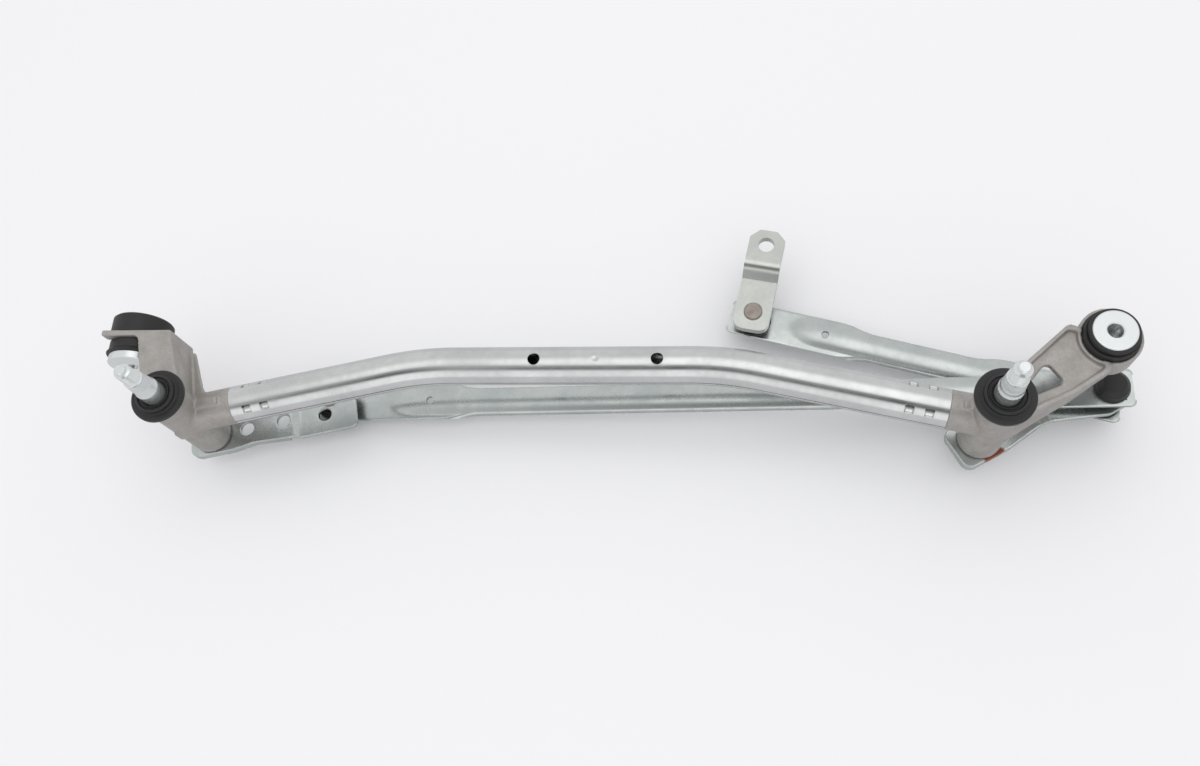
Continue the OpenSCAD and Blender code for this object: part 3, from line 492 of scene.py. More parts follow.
def ring_warp(
    u: Array, w: Array, centre: tuple[float, float], radius: float, reach: float
) -> tuple[Array, Array, Array]:
    """Bends a square grid round a round hole.

    The larger of the two offsets from the centre is the square distance of a point. A point at
    square distance radius moves in to the circle of that radius, a point at square distance
    reach stays, and the shift fades in a straight line between them.

    Args:
        u: First coordinate of each point.
        w: Second coordinate of each point.
        centre: Centre of the hole.
        radius: Radius of the hole.
        reach: Square distance where the bending ends.

    Returns:
        The moved coordinates, and True for each point inside the hole.
    """
    du, dw = u - centre[0], w - centre[1]
    square = np.maximum(np.abs(du), np.abs(dw))
    plain = np.maximum(np.hypot(du, dw), 1e-9)
    fade = np.clip((reach - square) / (reach - radius), 0.0, 1.0)
    scale = 1.0 + fade * (square / plain - 1.0)
    return centre[0] + du * scale, centre[1] + dw * scale, square < radius - 1e-3


def merge_doubles(piece: bpy.types.Object) -> None:
    """Merges the points of a piece that lie at the same place."""
    weld = piece.modifiers.new("weld", "WELD")
    weld.merge_threshold = MERGE_DISTANCE * MM


def thicken(piece: bpy.types.Object, wall: float, offset: float) -> None:
    """Gives a surface its wall.

    Args:
        piece: The object.
        wall: Thickness in millimetres.
        offset: -1 for a wall below the surface, 0 for one on both sides of it.
    """
    shell = piece.modifiers.new("wall", "SOLIDIFY")
    shell.thickness = wall * MM
    shell.offset = offset


def soften_edges(piece: bpy.types.Object, width: float) -> None:
    """Rounds the sharp edges of a piece.

    Args:
        piece: The object.
        width: Width of the rounding in millimetres.
    """
    bevel = piece.modifiers.new("edges", "BEVEL")
    bevel.width = width * MM
    bevel.segments = 3
    bevel.limit_method = "ANGLE"
    bevel.angle_limit = SHARP_EDGE
    bevel.harden_normals = True


def round_casting(node: bpy.types.Object, voxel: float, passes: int) -> None:
    """Gives a CAD node the soft corners of a cast or pressed piece.

    Args:
        node: The CAD node's object.
        voxel: Cell of the remeshing in millimetres, which sets the size of the corners.
        passes: Number of smoothing passes.
    """
    merge_doubles(node)
    remesh = node.modifiers.new("skin", "REMESH")
    remesh.mode = "VOXEL"
    remesh.voxel_size = voxel * MM
    remesh.use_smooth_shade = True
    smooth = node.modifiers.new("soft", "SMOOTH")
    smooth.factor = 0.5
    smooth.iterations = passes


@dataclass(kw_only=True)
class Shape(ABC):
    """A surface that stands for a CAD node.

    Attributes:
        node: CAD node that it replaces.
        body: CAD body that carries it.
        slot: Material slot of the record.
        kind: Last word of the piece's name.
        wrap: True where the last column of the grid meets the first.
        marks: Values for each point of the grid, by name.
    """

    node: str
    body: str
    slot: Slot
    kind: str
    wrap: bool = False
    marks: dict[str, Array] = field(default_factory=dict)

    @abstractmethod
    def grid(self) -> tuple[Array, Array]:
        """Gives the points in millimetres, and True for each one inside a hole."""

    @abstractmethod
    def trim(self, piece: bpy.types.Object) -> None:
        """Adds the modifiers that finish the piece."""

    def build(self, material: bpy.types.Material) -> bpy.types.Object:
        """Makes a smooth mesh from the grid and ties it to the CAD.

        Args:
            material: Finish of the piece.

        Returns:
            The new object.
        """
        points, gone = self.grid()
        faces = grid_faces(gone, self.wrap)
        used, numbers = np.unique(faces, return_inverse=True)
        places = points.reshape(-1, 3)[used] * MM
        name = f"{self.node}_{self.kind}"
        mesh = bpy.data.meshes.new(name)
        mesh.vertices.add(len(used))
        mesh.vertices.foreach_set("co", places.astype(np.float32).ravel())
        mesh.loops.add(faces.size)
        mesh.loops.foreach_set("vertex_index", numbers.astype(np.int32).ravel())
        mesh.polygons.add(len(faces))
        mesh.polygons.foreach_set("loop_start", np.arange(0, faces.size, 4, dtype=np.int32))
        mesh.polygons.foreach_set("use_smooth", np.ones(len(faces), dtype=bool))
        mesh.update(calc_edges=True)
        mesh.materials.append(material)
        for mark, values in self.marks.items():
            layer = mesh.attributes.new(mark, "FLOAT", "POINT")
            layer.data.foreach_set("value", values.reshape(-1)[used].astype(np.float32))
        piece = bpy.data.objects.new(name, mesh)
        bpy.context.scene.collection.objects.link(piece)
        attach(piece, self.body)
        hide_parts(self.node)
        self.trim(piece)
        return piece


@dataclass(kw_only=True)
class Lathe(Shape):
    """A turned or moulded round piece.

    Attributes:
        place: Origin of the profile.
        profile: Radius, height and rounding of each corner.
        axes: Directions of the profile's own axes.
        turns: Points round the axis.
    """

    body: str = "frame"
    kind: str = "turned"
    wrap: bool = True
    place: Point
    profile: tuple[Corner, ...]
    axes: Axes = UPRIGHT
    turns: int = 128

    def line(self) -> Array:
        """Gives radius and height of each point of the rounded profile."""
        return filleted(self.profile)

    def relief(self, radius: Array, height: Array, angle: Array) -> Array:
        """Gives the radius at each height and angle, which is the profile's on a plain piece."""
        return radius

    def grid(self) -> tuple[Array, Array]:
        """Carries the profile round the axis: radius times cosine, radius times sine, height.

        Returns:
            The points, of which none is inside a hole.
        """
        line = self.line()
        angle = np.linspace(0.0, 2.0 * np.pi, self.turns, endpoint=False)[None, :]
        height = line[:, 1:] + 0.0 * angle
        radius = self.relief(line[:, :1] + 0.0 * angle, height, angle)
        local = np.stack((radius * np.cos(angle), radius * np.sin(angle), height), axis=-1)
        points = local @ np.array(self.axes) + np.array(self.place)
        return points, np.zeros(height.shape, bool)

    def trim(self, piece: bpy.types.Object) -> None:
        """Merges the points where the profile meets the axis or itself."""
        merge_doubles(piece)


@dataclass(kw_only=True)
class Spindle(Lathe):
    """Wiper spindle with a riveted foot, knurl teeth on its cone and a cut thread."""

    slot: Slot = Slot.WHITE
    knurl: tuple[float, float] = (17.6, 26.6)
    teeth: int = 40
    tooth_depth: float = 0.42
    thread: tuple[float, float] = (28.2, 38.3)
    pitch: float = 1.5
    thread_depth: float = 0.75
    turns: int = 240
    profile: tuple[Corner, ...] = (
        (0.0, -80.3, 0.0), (7.0, -80.3, 0.3), (7.8, -79.3, 0.3), (7.8, -78.3, 0.1),
        (6.0, -78.3, 0.1), (6.0, -75.3, 0.1), (7.3, -75.3, 0.1), (7.3, -7.1, 0.05),
        (6.5, -7.1, 0.05), (6.5, -5.9, 0.05), (7.3, -5.9, 0.05), (7.3, 12.2, 3.0),
        (6.7, 14.6, 3.0), (6.0, 27.0, 0.15), (5.4, 27.4, 0.1), (5.0, 28.0, 0.1),
        (5.0, 38.5, 0.15), (3.4, 39.3, 0.2), (3.4, 41.3, 0.3), (2.7, 42.0, 0.3),
        (0.0, 42.0, 0.0),
    )

    def line(self) -> Array:
        """Adds points to the profile, close together along the thread and the knurl.

        Returns:
            Radius and height of each point.
        """
        line = filleted(self.profile)
        steps = np.linalg.norm(np.diff(line, axis=0), axis=1)
        run = np.concatenate(([0.0], np.cumsum(steps)))
        extra = knots((self.knurl[0] - 0.6, self.knurl[1] + 0.6, 0.4), (*self.thread, 0.14))
        inside = np.interp(extra, line[:, 1], run)
        places = np.unique(np.round(np.concatenate((run, inside)), 3))
        return np.stack([np.interp(places, run, values) for values in line.T], axis=1)

    def relief(self, radius: Array, height: Array, angle: Array) -> Array:
        """Cuts V-shaped teeth into the cone and a helical groove into the thread.

        A tooth is a triangle wave in the angle. The groove is a triangle wave of height over
        pitch less angle over a full turn, so that it climbs one pitch in each turn. Both fade
        out at the ends of their stretch.

        Args:
            radius: Radius of the profile.
            height: Height of the profile.
            angle: Angle round the axis.

        Returns:
            The radius with the cuts.
        """
        low, high = self.knurl
        wave = np.abs((angle * self.teeth / (2.0 * np.pi)) % 1.0 * 2.0 - 1.0)
        fade = 1.0 - smooth_step(height, high - 0.5, high + 0.2)
        teeth = wave * smooth_step(height, low, low + 0.9) * fade
        low, high = self.thread
        helix = np.abs((height / self.pitch - angle / (2.0 * np.pi)) % 1.0 * 2.0 - 1.0)
        cut = np.clip(1.25 * helix - 0.12, 0.0, 1.0)
        fade = 1.0 - smooth_step(height, high - 0.5, high)
        groove = cut * smooth_step(height, low, low + 0.8) * fade
        return radius - self.tooth_depth * teeth - self.thread_depth * groove


@dataclass(kw_only=True)
class Cap(Lathe):
    """Seal cap: a flange with a stepped collar and a lip round the spindle."""

    slot: Slot = Slot.RUBBER
    profile: tuple[Corner, ...] = (
        (7.36, -1.4, 0.0), (9.56, -1.4, 0.1), (9.56, -4.8, 0.1), (10.54, -4.8, 0.1),
        (10.54, -4.0, 0.1), (16.2, -4.0, 0.2), (16.8, -3.4, 0.4), (16.8, -1.0, 0.7),
        (15.8, 0.0, 0.7), (13.3, -0.2, 0.5), (12.3, 0.6, 0.6), (12.3, 2.4, 0.6),
        (11.7, 3.2, 0.5), (10.7, 3.2, 0.4), (10.3, 2.0, 0.4), (9.3, 2.0, 0.3),
        (9.3, 3.8, 0.3), (7.36, 1.8, 0.2), (7.36, -1.4, 0.0),
    )


@dataclass(kw_only=True)
class LeftRubber(Lathe):
    """Left bush rubber: a plug with a groove for the fork."""

    slot: Slot = Slot.RUBBER
    axes: Axes = ALONG_Y
    profile: tuple[Corner, ...] = (
        (6.42, 0.0, 0.0), (18.4, 0.0, 0.4), (19.0, 0.8, 0.4), (17.8, 2.6, 0.8),
        (17.8, 8.48, 0.4), (12.48, 8.48, 0.2), (12.48, 12.52, 0.2), (19.0, 12.52, 0.6),
        (19.0, 24.8, 0.8), (17.8, 26.0, 0.6), (6.42, 26.0, 0.1), (6.42, 0.0, 0.0),
    )


@dataclass(kw_only=True)
class LeftSleeve(Lathe):
    """Left bush sleeve: a spacer tube with a wide flange in front of the rubber."""

    slot: Slot = Slot.WHITE
    axes: Axes = ALONG_Y
    profile: tuple[Corner, ...] = (
        (4.2, -4.9, 0.0), (4.7, -5.4, 0.2), (17.0, -5.4, 0.8), (17.0, 0.0, 0.5),
        (6.4, 0.0, 0.1), (6.4, 27.0, 0.3), (4.2, 27.0, 0.3), (4.2, -4.9, 0.0),
    )


@dataclass(kw_only=True)
class RightRubber(Lathe):
    """Right bush rubber: a plug with two rings round the sleeve's flange."""

    slot: Slot = Slot.RUBBER
    profile: tuple[Corner, ...] = (
        (6.42, -25.0, 0.0), (14.1, -25.0, 0.3), (15.6, -23.5, 0.4), (15.6, -9.0, 0.1),
        (15.4, -8.25, 0.1), (15.4, -5.5, 0.5), (14.8, -4.9, 0.4), (13.2, -4.9, 0.2),
        (13.2, -4.0, 0.2), (14.0, -3.5, 0.4), (14.0, -1.6, 0.5), (13.4, -1.0, 0.4),
        (12.32, -1.0, 0.1), (12.32, -4.0, 0.1), (6.42, -4.0, 0.1), (6.42, -25.0, 0.0),
    )


@dataclass(kw_only=True)
class RightSleeve(Lathe):
    """Right bush sleeve: a spacer tube with a flange on top."""

    slot: Slot = Slot.WHITE
    profile: tuple[Corner, ...] = (
        (4.2, -26.0, 0.0), (6.4, -26.0, 0.3), (6.4, -4.0, 0.1), (12.3, -4.0, 0.3),
        (12.3, 0.0, 0.7), (4.9, 0.0, 0.2), (4.2, -0.7, 0.2), (4.2, -26.0, 0.0),
    )


@dataclass(kw_only=True)
class Tube(Shape):
    """Frame tube: a bent round tube with seam, staking dents, a dimple and motor holes."""

    node: str = "frame_tube"
    body: str = "frame"
    slot: Slot = Slot.TUBE
    kind: str = "swept"
    wrap: bool = True
    gap: float = 500.0
    radius: float = 12.0
    wall: float = 1.8
    slope: float = math.radians(12.3)
    bow: float = 33.6
    bend: float = 200.0
    drop: float = 37.0
    necks: tuple[float, float] = (34.0, 25.0)
    holes: tuple[float, float] = (228.5, 304.9)
    hole_radius: float = 3.85
    stake: float = 5.0
    stake_rows: tuple[float, float] = (10.5, 22.0)
    stake_depth: float = 1.7
    stake_edge: float = 0.45
    seam: float = math.radians(177.0)
    seam_width: float = 1.3
    seam_depth: float = 0.9
    dimple_at: float = 16.7
    dimple_radius: float = 2.6
    dimple_depth: float = 0.5
    dent_step: float = 0.42
    plain_step: float = 4.0

    def run(self) -> tuple[float, float, float]:
        """Works out the lengths along the centre line.

        Returns:
            Length to the bend, length to the middle stretch, and the whole length.
        """
        leg = self.bend * math.tan(self.slope / 2.0)
        knee = self.bow / math.tan(self.slope)
        straight = knee / math.cos(self.slope) - leg
        middle = straight + self.bend * self.slope
        return straight, middle, 2.0 * middle + self.gap - 2.0 * (knee + leg)

    def centre(self, s: Array) -> tuple[Array, Array, Array]:
        """Follows the centre line: a straight, an arc and a level middle, mirrored at half way.

        Args:
            s: Distance along the line from the left spindle axis.

        Returns:
            Both plan coordinates and the heading at each distance.
        """
        straight, middle, whole = self.run()
        leg = self.bend * math.tan(self.slope / 2.0)
        knee = self.bow / math.tan(self.slope) + leg
        near = np.minimum(s, whole - s)
        turn = self.slope - np.clip((near - straight) / self.bend, 0.0, self.slope)
        first = near < straight
        level = near > middle
        x = np.where(first, near * math.cos(self.slope), knee - self.bend * np.sin(turn))
        y = self.bow - self.bend * (1.0 - np.cos(turn))
        y = np.where(first, near * math.sin(self.slope), y)
        x = np.where(level, knee + near - middle, x)
        mirrored = s > whole / 2.0
        return np.where(mirrored, self.gap - x, x), y, np.where(mirrored, -turn, turn)

    def hole_places(self) -> list[float]:
        """Gives the distance of each motor hole along the centre line."""
        offset = (self.run()[2] - self.gap) / 2.0
        return [offset + hole for hole in self.holes]

    def stations(self) -> Array:
        """Lists distances along the tube, close together at dents, holes and dimple.

        Returns:
            The distances from the left spindle axis.
        """
        whole = self.run()[2]
        start, end = self.necks[0], whole - self.necks[1]
        near = self.stake_rows[0] - self.stake / 2.0 - 0.4
        far = self.stake_rows[1] + self.stake / 2.0 + 1.0
        stretches = [
            (start, start + near, 1.2),
            (start + near, start + far, self.dent_step),
            (start + far, end - far, self.plain_step),
            (end - far, end - near, self.dent_step),
            (end - near, end, 1.2),
        ]
        inner, outer = self.hole_radius, 2.0 * self.hole_radius
        for place in self.hole_places():
            stretches += [
                (place - outer, place - inner, 0.9),
                (place - inner, place + inner, 0.75),
                (place + inner, place + outer, 0.9),
            ]
        bowl, reach = whole / 2.0 + self.dimple_at, self.dimple_radius + 0.7
        stretches += [(bowl - reach, bowl + reach, 0.8)]
        return knots(*stretches)

    def angles(self) -> Array:
        """Lists angles round the tube, close together at dents, seam and holes.

        Returns:
            The angles from the back upwards.
        """
        pinch = math.degrees(math.acos(self.hole_radius / self.radius))
        fine = math.degrees(0.6 * self.stake / self.radius)
        seam = math.degrees(self.seam)
        stretches = [(side - fine, side + fine, 1.9) for side in (45.0, 135.0)]
        stretches += [(0.0, 360.0, 7.0), (seam - 5.0, seam + 5.0, 0.9)]
        stretches += [(half + pinch, half + 180.0 - pinch, 4.0) for half in (0.0, 180.0)]
        return np.radians(knots(*stretches)[:-1])

    def sink(self, s: Array, angle: Array) -> tuple[Array, Array, Array]:
        """Gives the depth of the pressed places below the round surface.

        The seam is a flat-bottomed groove along one angle. A staking dent is a square whose
        floor slopes from half its depth at its lower edge to the full depth at the crown. The
        dimple is a round bowl on the top between the motor holes.

        Args:
            s: Distance along the centre line.
            angle: Angle round it, from the back upwards.

        Returns:
            The depth of each point, the share of painted highlight on the lower part of each dent's
            floor, and the share of painted shade in the seam and along the dent edges.
        """
        whole = self.run()[2]
        arc = np.abs(self.radius * (angle - self.seam))
        groove = 1.0 - smooth_step(arc, 0.3 * self.seam_width, 0.62 * self.seam_width)
        depth = self.seam_depth * groove
        # The seam's groove is painted dark as shade.
        painted_shade, painted_highlight = groove, 0.0 * groove
        half, edge = self.stake / 2.0, self.stake_edge
        for along in (s - self.necks[0], whole - self.necks[1] - s):
            for row in self.stake_rows:
                for side, up in ((0.25 * np.pi, 1.0), (0.75 * np.pi, -1.0)):
                    far = np.abs(along - row)
                    across = self.radius * (angle - side) * up
                    ramp = 0.75 + 0.25 * np.clip(across / half, -1.0, 1.0)
                    inside = 1.0 - smooth_step(np.abs(across), half - edge, half)
                    inside = inside * (1.0 - smooth_step(far, half - edge, half))
                    depth = depth + self.stake_depth * ramp * inside
                    # Painted highlight on the lower part of the dent's floor.
                    painted_highlight = painted_highlight + inside * (1.0 - smooth_step(across, 0.2 * half, 0.6 * half))
                    # Painted shadow along the dent's edges, strongest at the crown side.
                    rim = np.maximum(far, np.abs(across))
                    line = smooth_step(rim, half - 2.2 * edge, half - edge)
                    line = line * (1.0 - smooth_step(rim, half, half + edge))
                    crown = smooth_step(across, 0.2 * half, 0.8 * half)
                    painted_shade = painted_shade + line * (0.3 + 0.7 * crown)
        top = self.radius * (angle - np.pi / 2.0)
        bowl = np.hypot(s - whole / 2.0 - self.dimple_at, top)
        depth = depth + self.dimple_depth * (1.0 - smooth_step(bowl, 0.0, self.dimple_radius))
        return depth, np.clip(painted_highlight, 0.0, 1.0), np.clip(painted_shade, 0.0, 1.0)

    def grid(self) -> tuple[Array, Array]:
        """Carries the circle along the centre line and marks where a highlight and shade are painted.

        A point lies back by radius times cosine and up by radius times sine. The grid is bent
        round the motor holes, which go through both walls.

        Returns:
            The points, and True for each one inside a motor hole.
        """
        along, around = np.meshgrid(self.stations(), self.angles(), indexing="ij")
        gone = np.zeros(along.shape, bool)
        for place in self.hole_places():
            side = self.radius * np.cos(around)
            along, shifted, inside = ring_warp(
                along, side, (place, 0.0), self.hole_radius, 2.0 * self.hole_radius
            )
            turned = np.arccos(np.clip(shifted / self.radius, -1.0, 1.0))
            around = np.where(around > np.pi, 2.0 * np.pi - turned, turned)
            gone |= inside
        x, y, heading = self.centre(along)
        # Masks of the painted highlight and the painted shade.
        depth, self.marks[HIGHLIGHT_MARK], self.marks[SHADE_MARK] = self.sink(along, around)
        radius = self.radius - depth
        back, up = radius * np.cos(around), radius * np.sin(around)
        x, y = x - back * np.sin(heading), y + back * np.cos(heading)
        return np.stack((x, y, up - self.drop), axis=-1), gone

    def trim(self, piece: bpy.types.Object) -> None:
        """Adds the wall and splits the shading at sharp edges.

        Args:
            piece: The swept surface.
        """
        thicken(piece, self.wall, -1.0)
        split = piece.modifiers.new("edges", "EDGE_SPLIT")
        split.split_angle = SHARP_EDGE


@dataclass(kw_only=True)
class Pressing(Shape):
    """A piece pressed from sheet, drawn through the middle of the sheet.

    Attributes:
        origin: Start of the lengths.
        axes: Directions along, across and up.
        sheet: Thickness of the sheet.
        corner: Radius of the round corners.
        corner_share: Share of that radius by which the width narrows.
        edge_rounding: Width of the rounded edges.
    """

    kind: str = "pressed"
    origin: Point
    axes: Axes
    sheet: float
    corner: float
    corner_share: float
    edge_rounding: float

    def points(self, along: Array, across: Array, up: Array) -> Array:
        """Turns distances along, across and up into points."""
        return np.stack((along, across, up), axis=-1) @ np.array(self.axes) + np.array(self.origin)

    def trim(self, piece: bpy.types.Object) -> None:
        """Adds the thickness of the sheet and rounds its edges."""
        thicken(piece, self.sheet, 0.0)
        soften_edges(piece, self.edge_rounding)


@dataclass(kw_only=True)
class Rod(Pressing):
    """Stamped rod: a sheet with wide end plates, a round bead and turned-down edges.

    Lengths along the rod are counted from its first ball. Pairs hold a value for each end.
    """

    slot: Slot = Slot.SHEET
    length: float
    overs: tuple[float, float] = (15.1, 12.0)
    plates: tuple[float, float]
    bead_at: float
    hole_at: float
    sheet: float = 2.2
    half_plate: float = 11.65
    half_rod: float = 8.5
    taper: float = 24.0
    corner: float = 3.4
    corner_share: float = 0.94
    bead_height: float = 3.2
    bead_soft: float = 1.0
    lead: float = 0.42
    flange: float = 1.6
    plate_lip: float = 0.35
    roll: float = 1.6
    plate_roll: float = math.radians(28.0)
    socket_radius: float = 9.62
    hole_radius: float = 2.5
    edge_rounding: float = 0.4
    slope_step: float = 0.2
    far_off: float = 99.0

    def channel(self, u: Array) -> Array:
        """Goes from 0 on the end plates to 1 along the channel, by distance u along the rod."""
        first = smooth_step(u, self.plates[0], self.plates[0] + self.taper)
        return first * smooth_step(self.length - u, self.plates[1], self.plates[1] + self.taper)

    def half_width(self, u: Array) -> Array:
        """Gives half the width of the rod, with round corners at both ends.

        Near an end the width follows a quarter circle of the corner radius.

        Args:
            u: Distance along the rod from its first ball.

        Returns:
            The half width at each place.
        """
        corner = self.corner
        left = np.clip(corner - (u + self.overs[0]), 0.0, corner)
        right = np.clip(corner - (self.length + self.overs[1] - u), 0.0, corner)
        inset = corner - np.sqrt(corner**2 - np.maximum(left, right) ** 2)
        plain = self.half_plate + (self.half_rod - self.half_plate) * self.channel(u)
        return plain - self.corner_share * inset

    def height(self, u: Array, w: Array) -> Array:
        """Raises the bead: a circular arc over the distance to the bead's middle line.

        The nose is drawn out along the rod, and on the end plates the back half of the arc
        reaches to the plate's edge. The arc meets the flat sheet softly, as half of z plus the
        root of z squared plus a small constant.

        Args:
            u: Distance along the rod.
            w: Distance across it.

        Returns:
            Height of the sheet's middle above the plate.
        """
        nose = self.bead_at + self.half_rod / self.lead
        beyond = self.lead * np.maximum(np.maximum(nose - u, u - self.length + nose), 0.0)
        wide = 1.0 + (self.half_plate / self.half_rod - 1.0) * (1.0 - self.channel(u))
        away = np.hypot(beyond, np.where(w > 0.0, w / wide, w))
        radius = (self.half_rod**2 + self.bead_height**2) / (2.0 * self.bead_height)
        inner = np.minimum(away, 0.9 * radius)
        arc = np.sqrt(radius**2 - inner**2) - radius + self.bead_height - 1.2 * (away - inner)
        return 0.5 * (arc + np.sqrt(arc**2 + self.bead_soft))

    def level(self) -> float:
        """Gives the half width of the level part of an end plate."""
        return self.half_plate - self.roll * math.sin(self.plate_roll)

    def stations(self) -> Array:
        """Lists places along the rod, close together at ends, holes and bead tips.

        Returns:
            The distances from the first ball.
        """
        start, end = -self.overs[0], self.length + self.overs[1]
        tight = self.corner + 0.2
        nose = self.half_rod / self.lead
        stretches = [(start, start + tight, 0.4), (end - tight, end, 0.4)]
        stretches += [(start + tight, end - tight, 2.2)]
        for ball in (0.0, self.length):
            stretches += [(ball - self.socket_radius, ball + self.socket_radius, 1.0)]
        for reach, step in ((self.hole_radius, 0.5), (2.0 * self.hole_radius, 0.83)):
            stretches += [(self.hole_at - reach, self.hole_at + reach, step)]
        for tip in (self.bead_at, self.length - self.bead_at - nose):
            stretches += [(tip - 3.0, tip + nose + 3.0, 1.0)]
        return knots(*stretches)

    def strip(self) -> tuple[Array, Array]:
        """Lists the points of a strip across the rod.

        Returns:
            The share of the half width at each point, and its stage: 0 on the sheet, up to 1
            round the roll, and up to 2 down the flange.
        """
        marks = (0.0, self.hole_radius, 2.0 * self.hole_radius, self.socket_radius, self.level())
        half = knots(*zip(marks, marks[1:], (0.7, 0.85, 0.95, 0.5))) / self.level()
        sheet = np.concatenate((half[:0:-1], -half))
        edge = np.array((0.25, 0.5, 0.75, 1.0, 1.5, 2.0))
        share = np.concatenate((np.ones(len(edge)), sheet, -np.ones(len(edge))))
        return share, np.concatenate((edge[::-1], np.zeros(len(sheet)), edge))

    def grid(self) -> tuple[Array, Array]:
        """Carries the strip along the rod.

        The strip follows the bead up to the edge, goes on from the slope it has there round the
        roll radius, and ends in a short upright flange along the channel. Heights are taken
        from the sheet far away from the bead.

        Returns:
            The points, and True for each one inside a socket's hole or the tooling hole.
        """
        share, stage = self.strip()
        along, across = np.meshgrid(self.stations(), share, indexing="ij")
        stage = np.broadcast_to(stage, along.shape)
        side, inner = np.sign(across), stage == 0.0
        channel, half = self.channel(along), self.half_width(along)
        most = self.plate_roll + (0.5 * np.pi - self.plate_roll) * channel
        rim = side * (half - self.roll * np.sin(most))
        fall = self.height(along, rim - self.slope_step * side) - self.height(along, rim)
        lean = np.clip(np.arctan(fall / self.slope_step), 0.0, most)
        angle = lean + (most - lean) * np.clip(stage, 0.0, 1.0)
        w = across * (half - self.roll * (np.sin(most) - np.sin(lean)))
        holes = [(ball, self.socket_radius, self.level()) for ball in (0.0, self.length)]
        holes += [(self.hole_at, self.hole_radius, 2.0 * self.hole_radius)]
        gone = np.zeros(along.shape, bool)
        for place, radius, reach in holes:
            moved, shifted, inside = ring_warp(along, w, (place, 0.0), radius, reach)
            along, w = np.where(inner, moved, along), np.where(inner, shifted, w)
            gone |= inside & inner
        z = self.height(along, w) - self.height(np.zeros(1), np.full(1, self.far_off))
        lip = self.plate_lip + (self.flange - self.plate_lip) * channel
        leg = lip * np.clip(stage - 1.0, 0.0, 1.0)
        out = self.roll * (np.sin(angle) - np.sin(lean)) + leg * np.cos(most)
        down = self.roll * (np.cos(lean) - np.cos(angle)) + leg * np.sin(most)
        w = w + np.where(inner, 0.0, side * out)
        z = z - np.where(inner, 0.0, down)
        return self.points(along, w, z), gone


@dataclass(kw_only=True)
class Crank(Pressing):
    """Motor crank: a thick strip with a crisp crease, a steep rise and clipped corners.

    Lengths are counted from the ball, heights from the underside there. The rise goes straight
    up over the climb and runs out over the crown.
    """

    node: str = "motor_crank"
    body: str = "motor_crank"
    slot: Slot = Slot.WHITE
    length: float = 45.8
    sheet: float = 5.0
    half_width: float = 11.75
    back: float = 13.0
    over: float = 10.65
    clip: float = 6.0
    corner: float = 7.0
    corner_share: float = 0.97
    rise: float = 8.0
    crease: float = 24.0
    climb: float = 4.5
    crown: float = 4.5
    bores: tuple[float, float] = (4.02, 5.3)
    bore_reach: float = 2.5
    edge_rounding: float = 0.5

    def outline(self, u: Array) -> Array:
        """Gives half the width: a quarter circle at the ball end, straight clips at the tip.

        Args:
            u: Distance from the ball along the crank.

        Returns:
            The half width at each place.
        """
        near = np.clip(self.corner - (u + self.back), 0.0, self.corner)
        round_end = self.corner - np.sqrt(self.corner**2 - near**2)
        tip = np.clip(u - (self.length + self.over - self.clip), 0.0, self.clip)
        return self.half_width - self.corner_share * round_end - tip

    def height(self, u: Array) -> Array:
        """Rises from the crease in a straight line and runs out level in a parabola.

        Args:
            u: Distance from the ball along the crank.

        Returns:
            Height of the sheet's middle above the underside at the ball.
        """
        gain = self.rise / (self.climb + 0.5 * self.crown)
        straight = np.clip(u - self.crease, 0.0, self.climb)
        far = np.clip(u - self.crease - self.climb, 0.0, self.crown)
        return 0.5 * self.sheet + gain * (straight + far - far**2 / (2.0 * self.crown))

    def stations(self) -> Array:
        """Lists places along the crank, close together at ends, bores and rise.

        Returns:
            The distances from the ball.
        """
        start, end = -self.back, self.length + self.over
        small, large = self.bores
        return knots(
            (start, start + self.corner, 0.6),
            (start + self.corner, end - self.clip, 1.0),
            (end - self.clip, end, 1.0),
            (-small, small, 0.9),
            (self.length - large, self.length + large, 0.9),
            (self.crease - 0.5, self.crease + 0.5, 0.25),
            (self.crease, self.crease + self.climb + self.crown, 0.5),
        )

    def grid(self) -> tuple[Array, Array]:
        """Carries a level line, as long as the outline is wide, along the height's profile.

        Returns:
            The points, and True for each one inside a bore.
        """
        small, large = self.bores
        half = knots((0.0, small, 0.8), (small, large, 0.7), (large, self.half_width, 1.1))
        share = np.concatenate((half[:0:-1], -half)) / self.half_width
        along, share = np.meshgrid(self.stations(), share, indexing="ij")
        w = share * self.outline(along)
        gone = np.zeros(along.shape, bool)
        for place, radius in ((0.0, small), (self.length, large)):
            reach = radius + self.bore_reach
            along, w, inside = ring_warp(along, w, (place, 0.0), radius, reach)
            gone |= inside
        return self.points(along, w, self.height(along)), gone


def plan_axes(angle: float) -> Axes:
    """Gives axes that are turned by an angle in plan."""
    c, s = math.cos(angle), math.sin(angle)
    return ((c, s, 0.0), (-s, c, 0.0), (0.0, 0.0, 1.0))


